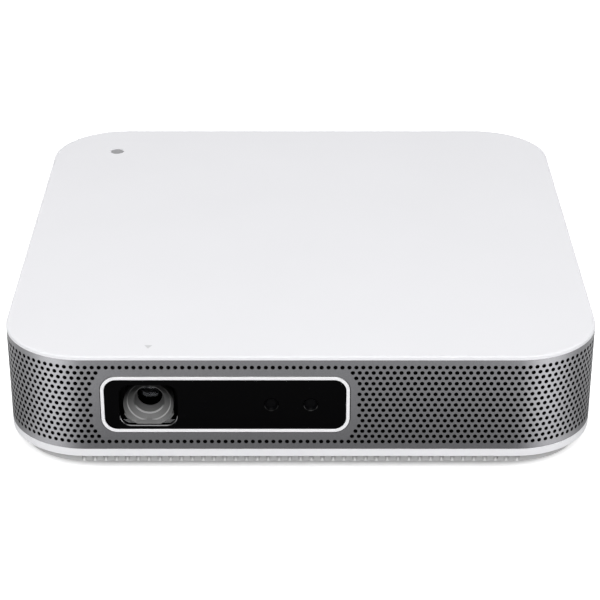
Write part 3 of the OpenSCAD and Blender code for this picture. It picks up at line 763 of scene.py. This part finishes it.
def holeCell():
    # one cell of the sheet in XZ: a twelve-sided hole whose rim is drawn out to the cell's outline
    bpy.ops.object.select_all(action="DESELECT")
    sides = band["holeSides"]
    bpy.ops.mesh.primitive_circle_add(vertices=sides, radius=band["hole"], rotation=(math.pi / 2, 0, 0))
    cell = settle(bpy.context.object, "holeCell")
    openAll(cell)
    bpy.ops.mesh.extrude_region_move()
    bpy.ops.transform.resize(value=(3, 3, 3))  # far enough out to be told from the rim below
    closeEdit()
    # where the twelve outer points go, in half cells
    outline = [(1, 0), (1, 1), (0.5, 1), (0, 1), (-0.5, 1), (-1, 1),
               (-1, 0), (-1, -1), (-0.5, -1), (0, -1), (0.5, -1), (1, -1)]
    for point in cell.data.vertices:
        if point.co.length > 2 * band["hole"]:
            turn = math.atan2(point.co.z, point.co.x)
            across, up = outline[round(turn * sides / (2 * math.pi)) % sides]
            point.co = (across * cellWidth / 2, 0, up * band["rowStep"] / 2)
    return cell


def arrayed(obj, count, step):
    return applyChange(obj, "ARRAY", count=count, use_relative_offset=False, use_constant_offset=True,
                       constant_offset_displace=step)


def readPoints(mesh):
    flat = np.empty(len(mesh.vertices) * 3, np.float32)
    mesh.vertices.foreach_get("co", flat)
    return flat.reshape(-1, 3).astype(float)


def holesToFill(points, firstCell):
    # rim points of the holes that come too near an opening
    along = points[:, 0] / cellWidth + firstCell
    row = np.round((band["firstRow"] - points[:, 2]) / band["rowStep"])
    shift = np.where(row % 2 == 0, 0.5, 0.0)
    centre = np.round(along - shift) + shift
    height = band["firstRow"] - row * band["rowStep"]
    slack = 1.02  # for rounding
    rim = np.hypot((along - centre) * cellWidth, points[:, 2] - height) < band["hole"] * slack
    near = np.zeros(len(points), bool)
    for side, (middle, width, tall, radius) in openings.items():
        x = (centre - side * sideCells - band["flatCells"] / 2) * cellWidth
        dx = np.maximum(np.abs(x - middle) - width / 2 + radius, 0)
        dz = np.maximum(np.abs(height - openingZ) - tall / 2 + radius, 0)
        near |= (np.hypot(dx, dz) - radius < band["clear"]) & (np.abs(x) < flatHalf)
    return rim & near


def wrapPoints(points, firstCell):
    # from the flat strip to the case's outline
    cell = np.mod(points[:, 0] / cellWidth + firstCell, 4 * sideCells)
    side = np.floor(cell / sideCells)
    along = cell - side * sideCells
    turn = np.clip(along - band["flatCells"], 0, None) * (math.pi / 2 / band["cornerCells"])
    onFlat = along < band["flatCells"]
    x = np.where(onFlat, along * cellWidth - flatHalf, flatHalf + case["corner"] * np.sin(turn))
    y = np.where(onFlat, -case["half"], -flatHalf - case["corner"] * np.cos(turn))
    spin = side * math.pi / 2
    turnedX = x * np.cos(spin) - y * np.sin(spin)
    turnedY = x * np.sin(spin) + y * np.cos(spin)
    return np.stack([turnedX, turnedY, points[:, 2]], 1)


def edgeEnds(mesh):
    ends = np.empty(len(mesh.edges) * 2, np.int32)
    mesh.edges.foreach_get("vertices", ends)
    return ends.reshape(-1, 2)


def bandStrip(cell, name, firstCell, cells):
    step = band["rowStep"]
    rows = []
    for row, start, count in ((0, 0.5, cells), (1, 0.0, cells + 1)):
        line = copyOf(cell, name + "Row", (start * cellWidth, 0, band["firstRow"] - row * step))
        arrayed(line, count, (cellWidth, 0, 0))
        rows.append(arrayed(line, (band["rows"] + 1 - row) // 2, (0, 0, -2 * step)))
    strip = joinAll(rows, name)
    mergeDoubles(strip)

    # the half cells past both ends of the strip go
    centres = np.empty(len(strip.data.polygons) * 3, np.float32)
    strip.data.polygons.foreach_get("center", centres)
    x = centres.reshape(-1, 3)[:, 0]
    openPart(strip, "FACE", (x < 0) | (x > cells * cellWidth))
    bpy.ops.mesh.delete(type="FACE")
    closeEdit()

    # holes near the window or the rear panel are closed
    rims = holesToFill(readPoints(strip.data), firstCell)
    if rims.any():
        ends = edgeEnds(strip.data)
        openPart(strip, "EDGE", rims[ends].all(1))
        bpy.ops.mesh.fill_holes(sides=band["holeSides"])
        closeEdit()

    # plain margins above and below the rows
    for level, target in ((band["firstRow"] + step / 2, case["bandTop"]),
                          (band["firstRow"] - (band["rows"] - 0.5) * step, case["stripTop"])):
        heights = readPoints(strip.data)[:, 2]
        openPart(strip, "EDGE", (np.abs(heights[edgeEnds(strip.data)] - level) < tiny).all(1))
        extrudeBy(0, 0, target - level)
        closeEdit()

    wrapped = wrapPoints(readPoints(strip.data), firstCell)
    strip.data.vertices.foreach_set("co", wrapped.astype(np.float32).ravel())
    strip.data.update()
    face = strip.data.polygons[0]
    if face.normal.x * face.center.x + face.normal.y * face.center.y < 0:
        openAll(strip)
        bpy.ops.mesh.flip_normals()
        closeEdit()
    return applyChange(strip, "SOLIDIFY", thickness=band["sheet"], offset=-1)


def neckCutter(side):
    # the opening is a seam's width larger than the part that stands in it
    middle, width, tall, radius = openings[side]
    reachX, reachZ = width / 2 + seamGap, tall / 2 + seamGap
    low = (middle - reachX, -case["half"] - band["cutOut"], openingZ - reachZ)
    high = (middle + reachX, -case["half"] + band["cutIn"], openingZ + reachZ)
    cutter = roundedSlab("neckCutter", low, high, radius + seamGap, "Y", 16)
    cutter.rotation_euler = (0, 0, side * math.pi / 2)
    return settle(cutter, "neckCutter")


def buildBand():
    cell = holeCell()
    for name, (firstCell, cells, side) in band["strips"].items():
        strip = bandStrip(cell, name, firstCell, cells)
        if side is not None:
            combine(strip, neckCutter(side))
        onlySelect(strip)
        bpy.ops.object.shade_smooth_by_angle(angle=math.radians(40))
        place(strip, "housing", "band_metal", "perforated_band")
        print(name, "has", len(strip.data.polygons), "faces")
    bpy.data.objects.remove(cell)


buildBand()


# base and plinth

base = {"low": 3.5 * mm, "round": 0.2 * mm, "rim": 0.4 * mm,
        "tabs": (-34 * mm, 0, 34 * mm), "tabHalf": 6 * mm, "tabOut": 72.7 * mm, "tabIn": 71.5 * mm,
        "tabTop": 7.7 * mm, "tabRound": 0.15 * mm,
        "screwHole": 1.45 * mm, "holeLow": 2 * mm, "holeTop": 8 * mm,
        "recess": 2.7 * mm, "recessTop": 4.7 * mm,
        "tripod": (0, -10 * mm), "boss": 6 * mm, "bossLow": 5.6 * mm, "bossTop": 10.3 * mm,
        "bore": 4.02 * mm, "boreLow": 2.48 * mm, "boreTop": 9.52 * mm,
        "inlet": (-31 * mm, 30 * mm), "slotStep": 4 * mm, "slotHalf": mm, "slotReach": 16 * mm,
        "slotRound": 0.98 * mm,
        # the cutters of recesses and slots start under the base, and those of slots end inside it
        "under": 3 * mm, "inside": 6.2 * mm}
plinth = {"inset": 2.6 * mm, "wall": 2 * mm, "low": 0.5 * mm, "edge": 0.15 * mm,
          "pocket": 0.6 * mm, "pocketTop": 4 * mm, "floor": 0.8 * mm, "depth": 0.7 * mm, "proud": 0.02 * mm,
          "tilt": 35, "flareOut": 0.7 * mm, "flareWide": 1.8, "flareDrop": 0.45 * mm, "ledgeTop": 1.15 * mm,
          "flatPockets": 41, "step": 2.75 * mm}


def atHeight(level):
    # picks the edges that lie at one height
    return lambda a, b: abs(a.z - level) < tiny and abs(b.z - level) < tiny


def buildBase():
    cover = caseSlab("baseCover", 0, base["low"], case["stripTop"])
    for level in (case["stripTop"], base["low"]):
        bevelEdges(cover, atHeight(level), base["round"], 4)
    insetFaces(cover, lambda centre, normal: abs(normal.z) > 0.999, base["rim"])
    low = case["stripTop"] - overlap
    for side in range(4):
        for x in base["tabs"]:
            tab = addBlock("tab", (x - base["tabHalf"], -base["tabOut"], low),
                           (x + base["tabHalf"], -base["tabIn"], base["tabTop"]))
            tab.rotation_euler = (0, 0, side * math.pi / 2)
            combine(cover, softenEdges(settle(tab, "tab"), base["tabRound"], 2), "UNION")
    for spot in posts:
        combine(cover, addPost("screwHole", spot, base["holeLow"], base["holeTop"], base["screwHole"], 32))
        combine(cover, addPost("recess", spot, base["under"], base["recessTop"], base["recess"], 48))
    spot = base["tripod"]
    combine(cover, addPost("tripodBoss", spot, base["bossLow"], base["bossTop"], base["boss"]), "UNION")
    combine(cover, addPost("tripodHole", spot, base["boreLow"], base["boreTop"], base["bore"]))
    x, y = base["inlet"]
    front, back = y - base["slotReach"], y + base["slotReach"]
    slots = []
    for i in range(-4, 5):
        left, right = x + i * base["slotStep"] - base["slotHalf"], x + i * base["slotStep"] + base["slotHalf"]
        slots.append(roundedSlab("inletSlot", (left, front, base["under"]), (right, back, base["inside"]),
                                 base["slotRound"], "Z", 8))
    combine(cover, joinAll(slots, "inletSlots"))
    place(shadeSmooth(cover), "housing", "white_shell", "base_cover")


# painted shade on the plinth, darker towards its top under the base, and a painted highlight on the ledges of
# its pockets
plinthPaintedLight = [paintedLightByHeight("plinthPaintedShade", 0.7 * mm, 3.1 * mm, 0.66, 0.25, 0.55),
                  paintedLightByHeight("pocketLedgeHighlight", 0.95 * mm, 1.5 * mm, 0.95, 0.36, 0.4)]


def pocketCutter():
    # U-shaped prism that slopes down towards the plinth's face and flares outside it
    radius = plinth["pocket"]
    bpy.ops.object.select_all(action="DESELECT")
    bpy.ops.mesh.primitive_circle_add(vertices=16, radius=radius, fill_type="NGON",
                                      location=(0, plinth["depth"], 0), rotation=(math.pi / 2, 0, 0))
    cutter = settle(bpy.context.object, "pocket")
    for point in cutter.data.vertices:
        if point.co.z > 0.01 * mm:
            point.co.x = math.copysign(radius, point.co.x) if abs(point.co.x) > 0.01 * mm else 0
            point.co.z = plinth["pocketTop"]
    mergeDoubles(cutter)
    openFaces(cutter, lambda centre, normal: True)
    extrudeBy(0, -plinth["proud"] - plinth["depth"], 0)
    extrudeBy(0, -plinth["flareOut"], 0)
    bpy.ops.transform.resize(value=(plinth["flareWide"], 1, 1))
    bpy.ops.transform.translate(value=(0, 0, -plinth["flareDrop"]))
    turnOutwards()
    closeEdit()
    cutter.rotation_euler = (math.radians(plinth["tilt"]), 0, 0)
    cutter.location = (0, plinth["inset"] - case["half"], plinth["floor"] + radius)
    return settle(cutter, "pocket")


def buildPlinth():
    ring = caseSlab("slottedPlinth", plinth["inset"], plinth["low"], base["low"])
    bevelEdges(ring, atHeight(plinth["low"]), plinth["edge"], 2)
    combine(ring, caseSlab("plinthCore", plinth["inset"] + plinth["wall"], -mm, 10 * mm))
    pocket = pocketCutter()
    middle = (plinth["flatPockets"] - 1) / 2
    places = [((i - middle) * plinth["step"], 0, 0) for i in range(plinth["flatPockets"])]
    oneSide = joinAll([copyOf(pocket, "pocket", spot) for spot in places], "pockets")
    bpy.data.objects.remove(pocket)
    for side in range(4):
        twin = copyOf(oneSide, "pockets")
        twin.rotation_euler = (0, 0, side * math.pi / 2)
        combine(ring, settle(twin, "pockets"))
    bpy.data.objects.remove(oneSide)
    place(shadeSmooth(ring), "housing", "grey_trim", "slotted_plinth")
    # painted highlight: the ledge at the foot of each pocket is painted lighter than the rest of the plinth
    wear(ring, plinthPaintedLight)
    for face in ring.data.polygons:
        if face.normal.z > 0.3 and face.center.z < plinth["ledgeTop"]:
            face.material_index = 1


buildBase()
buildPlinth()
print("base done")


# front window, lens hood and sensors

window = {"ring": 0.85 * mm, "proud": 0.2 * mm, "back": 71.6 * mm, "glassFront": 75.1 * mm, "glass": 1.4 * mm,
          "throat": 1.75 * mm, "edge": 0.12 * mm, "glassEdge": 0.05 * mm, "glassGap": 0.05 * mm,
          "lensX": -37.9 * mm, "lensZ": 18.2 * mm, "lensWidth": 14.1 * mm, "lensTall": 11.2 * mm,
          "lensRound": 2.7 * mm, "lensCut": 0.25 * mm,
          "eyes": (-7.3 * mm, 2.5 * mm), "eye": 1.7 * mm, "eyeCut": 0.15 * mm}
farOut, farIn = 80 * mm, 70 * mm  # cutters go through the wall from one to the other


def openingSlab(name, side, front, back, shrink, segments):
    # a slab with the outline of a side's opening, between two distances from the case's middle
    middle, width, tall, radius = openings[side]
    x, z = width / 2 - shrink, tall / 2 - shrink
    if side == 2:
        middle, front, back = -middle, -front, -back
    return roundedSlab(name, (middle - x, -front, openingZ - z), (middle + x, -back, openingZ + z),
                       radius - shrink, "Y", segments)


def lensOpening(name, grow, front, back):
    x, z = window["lensWidth"] / 2 + grow, window["lensTall"] / 2 + grow
    return roundedSlab(name, (window["lensX"] - x, -front, window["lensZ"] - z),
                       (window["lensX"] + x, -back, window["lensZ"] + z), window["lensRound"] + grow, "Y", 16)


def buildWindow():
    front = case["half"] + window["proud"]
    seat = window["glassFront"] - window["glass"]
    bezel = openingSlab("windowBezel", 0, front, window["back"], 0, 20)
    combine(bezel, openingSlab("bezelCore", 0, farOut, seat, window["ring"], 20))
    combine(bezel, openingSlab("bezelThroat", 0, farOut, farIn, window["throat"], 20))
    place(softenEdges(bezel, window["edge"]), "housing", "bezel_white", "window_bezel")

    glass = openingSlab("frontWindow", 0, window["glassFront"], seat, window["ring"] + window["glassGap"], 20)
    combine(glass, lensOpening("lensHole", window["lensCut"], farOut, farIn))
    for x in window["eyes"]:
        combine(glass, addBar("eyeHole", x, openingZ, -farOut, -farIn, window["eye"] + window["eyeCut"], 48))
    place(softenEdges(glass, window["glassEdge"], 2), "housing", "window_gloss", "front_window")
    # only the face is polished
    wear(glass, [finishes["window_gloss"], finishes["black_frame"]])
    for face in glass.data.polygons:
        face.material_index = int(face.normal.y > -0.9)


rims = {"depth": 1.3 * mm, "lensChamfer": 0.18 * mm, "eyeChamfer": 0.14 * mm, "eyeWall": 0.05 * mm,
        # how far below the eyes' middle their rims end
        "eyeTop": 0.3 * mm}
rimFinishes = {"lens": groundEdge("lensRim", (0.16, 0.16, 0.163)),
               "cameraRim": groundEdge("cameraRim", (0.012, 0.012, 0.012)),
               "distanceRim": groundEdge("distanceRim", (0.024, 0.024, 0.024))}


def fromOpening(point):
    # distance of a point from the lens opening's outline
    radius = window["lensRound"]
    x = abs(point.x - window["lensX"]) - window["lensWidth"] / 2 + radius
    z = abs(point.z - window["lensZ"]) - window["lensTall"] / 2 + radius
    return math.hypot(max(x, 0), max(z, 0)) - radius


def finishRim(collar, finish, chamfer, top, isInner):
    # chamfers a collar towards its hole, keeps its lower part and paints it
    front = tiny - window["glassFront"]
    bevelEdges(collar, lambda a, b: a.y < front and b.y < front and isInner(a) and isInner(b), chamfer, 1)
    openAll(collar)
    bpy.ops.mesh.bisect(plane_co=(0, 0, top), plane_no=(0, 0, 1), use_fill=True, clear_outer=True,
                        threshold=1e-7)
    closeEdit()
    place(shadeSmooth(collar, 30), "housing", "window_gloss")
    wear(collar, [rimFinishes[finish], finishes["black_frame"]])
    for face in collar.data.polygons:
        face.material_index = int(not 0.2 < -face.normal.y < 0.95)


def buildRims():
    # ground lower rims of the three openings, each a thin collar with a chamfer towards its hole
    front, back = window["glassFront"], window["glassFront"] - rims["depth"]
    collar = lensOpening("lensRim", window["lensCut"], front, back)
    combine(collar, lensOpening("rimCore", 0, farOut, farIn))
    top = window["lensZ"] - window["lensTall"] / 2 + window["lensRound"]
    finishRim(collar, "lens", rims["lensChamfer"], top, lambda p: fromOpening(p) < 0.1 * mm)
    for x, name in zip(window["eyes"], ("cameraRim", "distanceRim")):
        collar = addBar(name, x, openingZ, -front, -back, window["eye"] + window["eyeCut"])
        combine(collar, addBar("rimCore", x, openingZ, -farOut, -farIn, window["eye"] - rims["eyeWall"]))
        finishRim(collar, name, rims["eyeChamfer"], openingZ - rims["eyeTop"],
                  lambda p: math.hypot(p.x - x, p.z - openingZ) < window["eye"])


# painted light on the lens hood: the cone light at the bottom and near black at the top, and painted
# highlights on the lips of its two steps
hoodPaintedLight = [
    paintedLightByHeight("hoodConeShade", window["lensZ"] - 5.5 * mm, window["lensZ"] + 3 * mm, 0.25, 0.01, 0.6),
    paintedLightByHeight("hoodOuterLipHighlight", window["lensZ"] - 2 * mm, window["lensZ"] + 1.5 * mm, 0.42, 0.06, 0.4),
    paintedLightByHeight("hoodInnerLipHighlight", window["lensZ"] - 2.8 * mm, window["lensZ"] - 1.4 * mm, 0.42, 0.08, 0.4),
]
hood = {"front": 74.5 * mm, "flatIn": 5.25 * mm, "flatOut": 5.5 * mm, "steps": 96,
        # degrees at which the clips start and that they sweep, then their radii and depths in millimetres
        "clips": (-154, -50), "clipSweep": 24, "clipRadius": (6.2, 6.95), "clipDepth": (0.6, 2.4),
        "clipEdge": 0.12 * mm,
        # least and greatest radius and depth of each lip, in millimetres
        "lips": (((5.27, 1.55), (5.5, 1.87)), ((3.66, 2.58), (3.96, 2.92))),
        # radius and depth in millimetres of the outer shape, then of the hollow, from the axis round and back
        "outside": ((0, 0), (6.19, 0), (6.25, 0.06), (6.25, 3.2), (4.2, 5.35), (4.1, 5.4), (0, 5.4)),
        "hollow": ((0, -1), (6.2, -1), (6.2, -0.02), (6.1, 0.08), (5.52, 1.52), (5.48, 1.6), (5.36, 1.66),
                   (5.3, 1.74), (5.28, 1.86), (4.02, 2.56), (3.9, 2.62), (3.76, 2.68), (3.7, 2.76),
                   (3.68, 2.9), (3.28, 4.8), (3.2, 4.95), (3.15, 5.1), (3.15, 6), (0, 6))}


def turned(name, profile, flat):
    # spins a closed profile about the lens axis and cuts it flat above and below
    x, z = window["lensX"], window["lensZ"]
    bpy.ops.object.select_all(action="DESELECT")
    bpy.ops.mesh.primitive_circle_add(vertices=len(profile), radius=mm)
    body = settle(bpy.context.object, name)
    for point, (radius, depth) in zip(body.data.vertices, profile):
        point.co = (x + radius * mm, -hood["front"] + depth * mm, z)
    openAll(body)
    bpy.ops.mesh.spin(steps=hood["steps"], angle=2 * math.pi, center=(x, 0, z), axis=(0, 1, 0))
    bpy.ops.mesh.select_all(action="SELECT")
    bpy.ops.mesh.remove_doubles(threshold=0.001 * mm)
    # the part of the profile that lies along the axis leaves loose edges
    bpy.ops.mesh.select_all(action="DESELECT")
    bpy.ops.mesh.select_mode(type="EDGE")
    bpy.ops.mesh.select_loose()
    bpy.ops.mesh.delete(type="EDGE")
    turnOutwards()
    for side in (-1, 1):
        bpy.ops.mesh.select_all(action="SELECT")
        bpy.ops.mesh.bisect(plane_co=(x, 0, z + side * flat), plane_no=(0, 0, side), use_fill=True,
                            clear_outer=True, threshold=1e-7)
    closeEdit()
    return body


def buildHood():
    shell = turned("lensHood", hood["outside"], hood["flatOut"])

    # a clip at each lower corner, outside the mouth
    x, z = window["lensX"], window["lensZ"]
    for start in hood["clips"]:
        bpy.ops.object.select_all(action="DESELECT")
        bpy.ops.mesh.primitive_plane_add(size=1)
        clip = settle(bpy.context.object, "clip")
        turn = math.radians(start)
        for point in clip.data.vertices:
            radius = hood["clipRadius"][int(point.co.x > 0)] * mm
            depth = hood["clipDepth"][int(point.co.y > 0)] * mm
            point.co = (x + radius * math.cos(turn), -hood["front"] + depth, z + radius * math.sin(turn))
        openAll(clip)
        bpy.ops.mesh.spin(steps=12, angle=math.radians(hood["clipSweep"]), center=(x, 0, z), axis=(0, 1, 0))
        turnOutwards()
        closeEdit()
        combine(shell, softenEdges(clip, hood["clipEdge"], 2), "UNION")
    combine(shell, turned("hoodHollow", hood["hollow"], hood["flatIn"]))
    place(shadeSmooth(shell, 25), "housing", "hood_grey", "lens_hood")

    # painted highlights: the lips of the cone's two steps are painted lighter
    wear(shell, hoodPaintedLight)
    for face in shell.data.polygons:
        radius = math.hypot(face.center.x - x, face.center.z - z) / mm
        depth = (face.center.y + hood["front"]) / mm
        for i, (low, high) in enumerate(hood["lips"]):
            if low[0] < radius < high[0] and low[1] < depth < high[1]:
                face.material_index = i + 1


eyes = {"front": 74.95 * mm, "seat": 69 * mm, "gap": 0.06 * mm, "bodyDepth": 2 * mm, "bodyEdge": 0.25 * mm,
        # piece, half of its body's width, and the CAD node that it stands for
        "pieces": (("cameraEye", 3.5 * mm, "autofocus_camera"),
                   ("distanceEye", 2.75 * mm, "distance_sensor")),
        # the dish, ring by ring towards the middle: width, and how far back the rest moves
        "dish": ((0.1 * mm, 0), (0.25 * mm, 0.4 * mm), (0.1 * mm, 0.1 * mm), (0.5 * mm, -0.12 * mm),
                 (0.3 * mm, -0.03 * mm))}


def buildEyes():
    # each eye stands in its hole of the window, dished and closed behind by its square body
    front, seat = -eyes["front"], -eyes["seat"]
    for x, (name, half, nodeName) in zip(window["eyes"], eyes["pieces"]):
        eye = addBar(name, x, openingZ, front, seat, window["eye"] - eyes["gap"], 48)

        def onAxis(centre, normal):
            return normal.y < -0.9 and math.hypot(centre.x - x, centre.z - openingZ) < 0.1 * mm

        for width, push in eyes["dish"]:
            openFaces(eye, onAxis)
            bpy.ops.mesh.inset(thickness=width)
            bpy.ops.transform.translate(value=(0, push, 0))
            closeEdit()
        body = addBlock("eyeBody", (x - half, seat - 0.01 * mm, openingZ - half),
                        (x + half, seat + eyes["bodyDepth"], openingZ + half))
        combine(eye, softenEdges(body, eyes["bodyEdge"], 2), "UNION")
        place(shadeSmooth(eye, 30), "housing", "sensor_grey", nodeName)


buildWindow()
buildRims()
buildHood()
buildEyes()
print("window done")


# power button

button = {"radius": 1.825 * mm, "top": 31.95 * mm, "flange": 2.825 * mm, "flangeLow": 29.6 * mm,
          "flangeTop": 30.3 * mm, "edge": 0.12 * mm,
          # rings of the dish towards the middle: width, and how far down the rest moves
          "dish": ((0.45 * mm, 0), (0.4 * mm, 0.07 * mm), (0.4 * mm, 0.03 * mm))}


def buildButton():
    cap = addPost("powerButton", lid["button"], button["flangeLow"], button["flangeTop"], button["flange"])
    openFaces(cap, lambda centre, normal: normal.z > 0.9)
    bpy.ops.mesh.inset(thickness=button["flange"] - button["radius"])
    extrudeBy(0, 0, button["top"] - button["flangeTop"])
    for width, push in button["dish"]:
        bpy.ops.mesh.inset(thickness=width)
        bpy.ops.transform.translate(value=(0, 0, -push))
    closeEdit()
    place(softenEdges(cap, button["edge"], angle=60), "button", "button_grey", "power_button")


buildButton()
print("button done")


# rear panel

rear = {"back": 73.4 * mm, "plate": 74.5 * mm, "edge": 0.15 * mm, "squareRound": 0.5 * mm,
        # place across, height and radius of the round holes
        "round": ((43 * mm, 19.2 * mm, 3.9 * mm), (-5.5 * mm, 16.6 * mm, 3.1 * mm)),
        # place across, height, width and height of the square ones
        "square": ((26 * mm, 16.4 * mm, 15.4 * mm, 6.2 * mm), (7 * mm, 16.6 * mm, 13.7 * mm, 6.4 * mm))}


def buildRear():
    panel = openingSlab("rearPanel", 2, rear["back"], case["half"] + window["proud"], 0, 16)
    combine(panel, openingSlab("panelRecess", 2, rear["plate"], farOut, window["ring"], 16))
    for x, z, radius in rear["round"]:
        combine(panel, addBar("socketHole", x, z, farIn, farOut, radius, 48))
    for x, z, width, tall in rear["square"]:
        combine(panel, roundedSlab("socketHole", (x - width / 2, farIn, z - tall / 2),
                                   (x + width / 2, farOut, z + tall / 2), rear["squareRound"], "Y", 4))
    place(softenEdges(panel, rear["edge"], 2), "housing", "window_gloss", "rear_panel")


buildRear()
print("rear done")


# CAD pieces with plain edges are copied, merged and rounded

rounded = {
    # node: body, width of the rounding
    "tilt_stand": ("stand", 0.25 * mm), "rubber_feet": ("housing", 0.1 * mm),
    "case_screws": ("housing", 0.06 * mm), "tripod_insert": ("housing", 0.12 * mm),
}


def roundedCopy(nodeName, body, width):
    twin = copyOf(frame["nodes"][nodeName], nodeName.replace("_", "") + "Round")
    for key in list(twin.keys()):
        del twin[key]
    mergeDoubles(twin, 0.001 * mm)
    openAll(twin)
    bpy.ops.mesh.dissolve_limited(angle_limit=math.radians(0.5))
    closeEdit()
    slotName = next(row["material_slot"] for row in frame["record"]["subparts"] if row["node"] == nodeName)
    place(softenEdges(twin, width, 2), body, slotName, nodeName)


for nodeName, (body, width) in rounded.items():
    roundedCopy(nodeName, body, width)
# the bracket behind the lens hood is blackened, so that it doesn't shine beside the hood
wear(frame["nodes"]["focus_bracket"], [drawnMetal("blackenedSteel", (0.012, 0.012, 0.012), 0.5)])
print("rounded copies done")
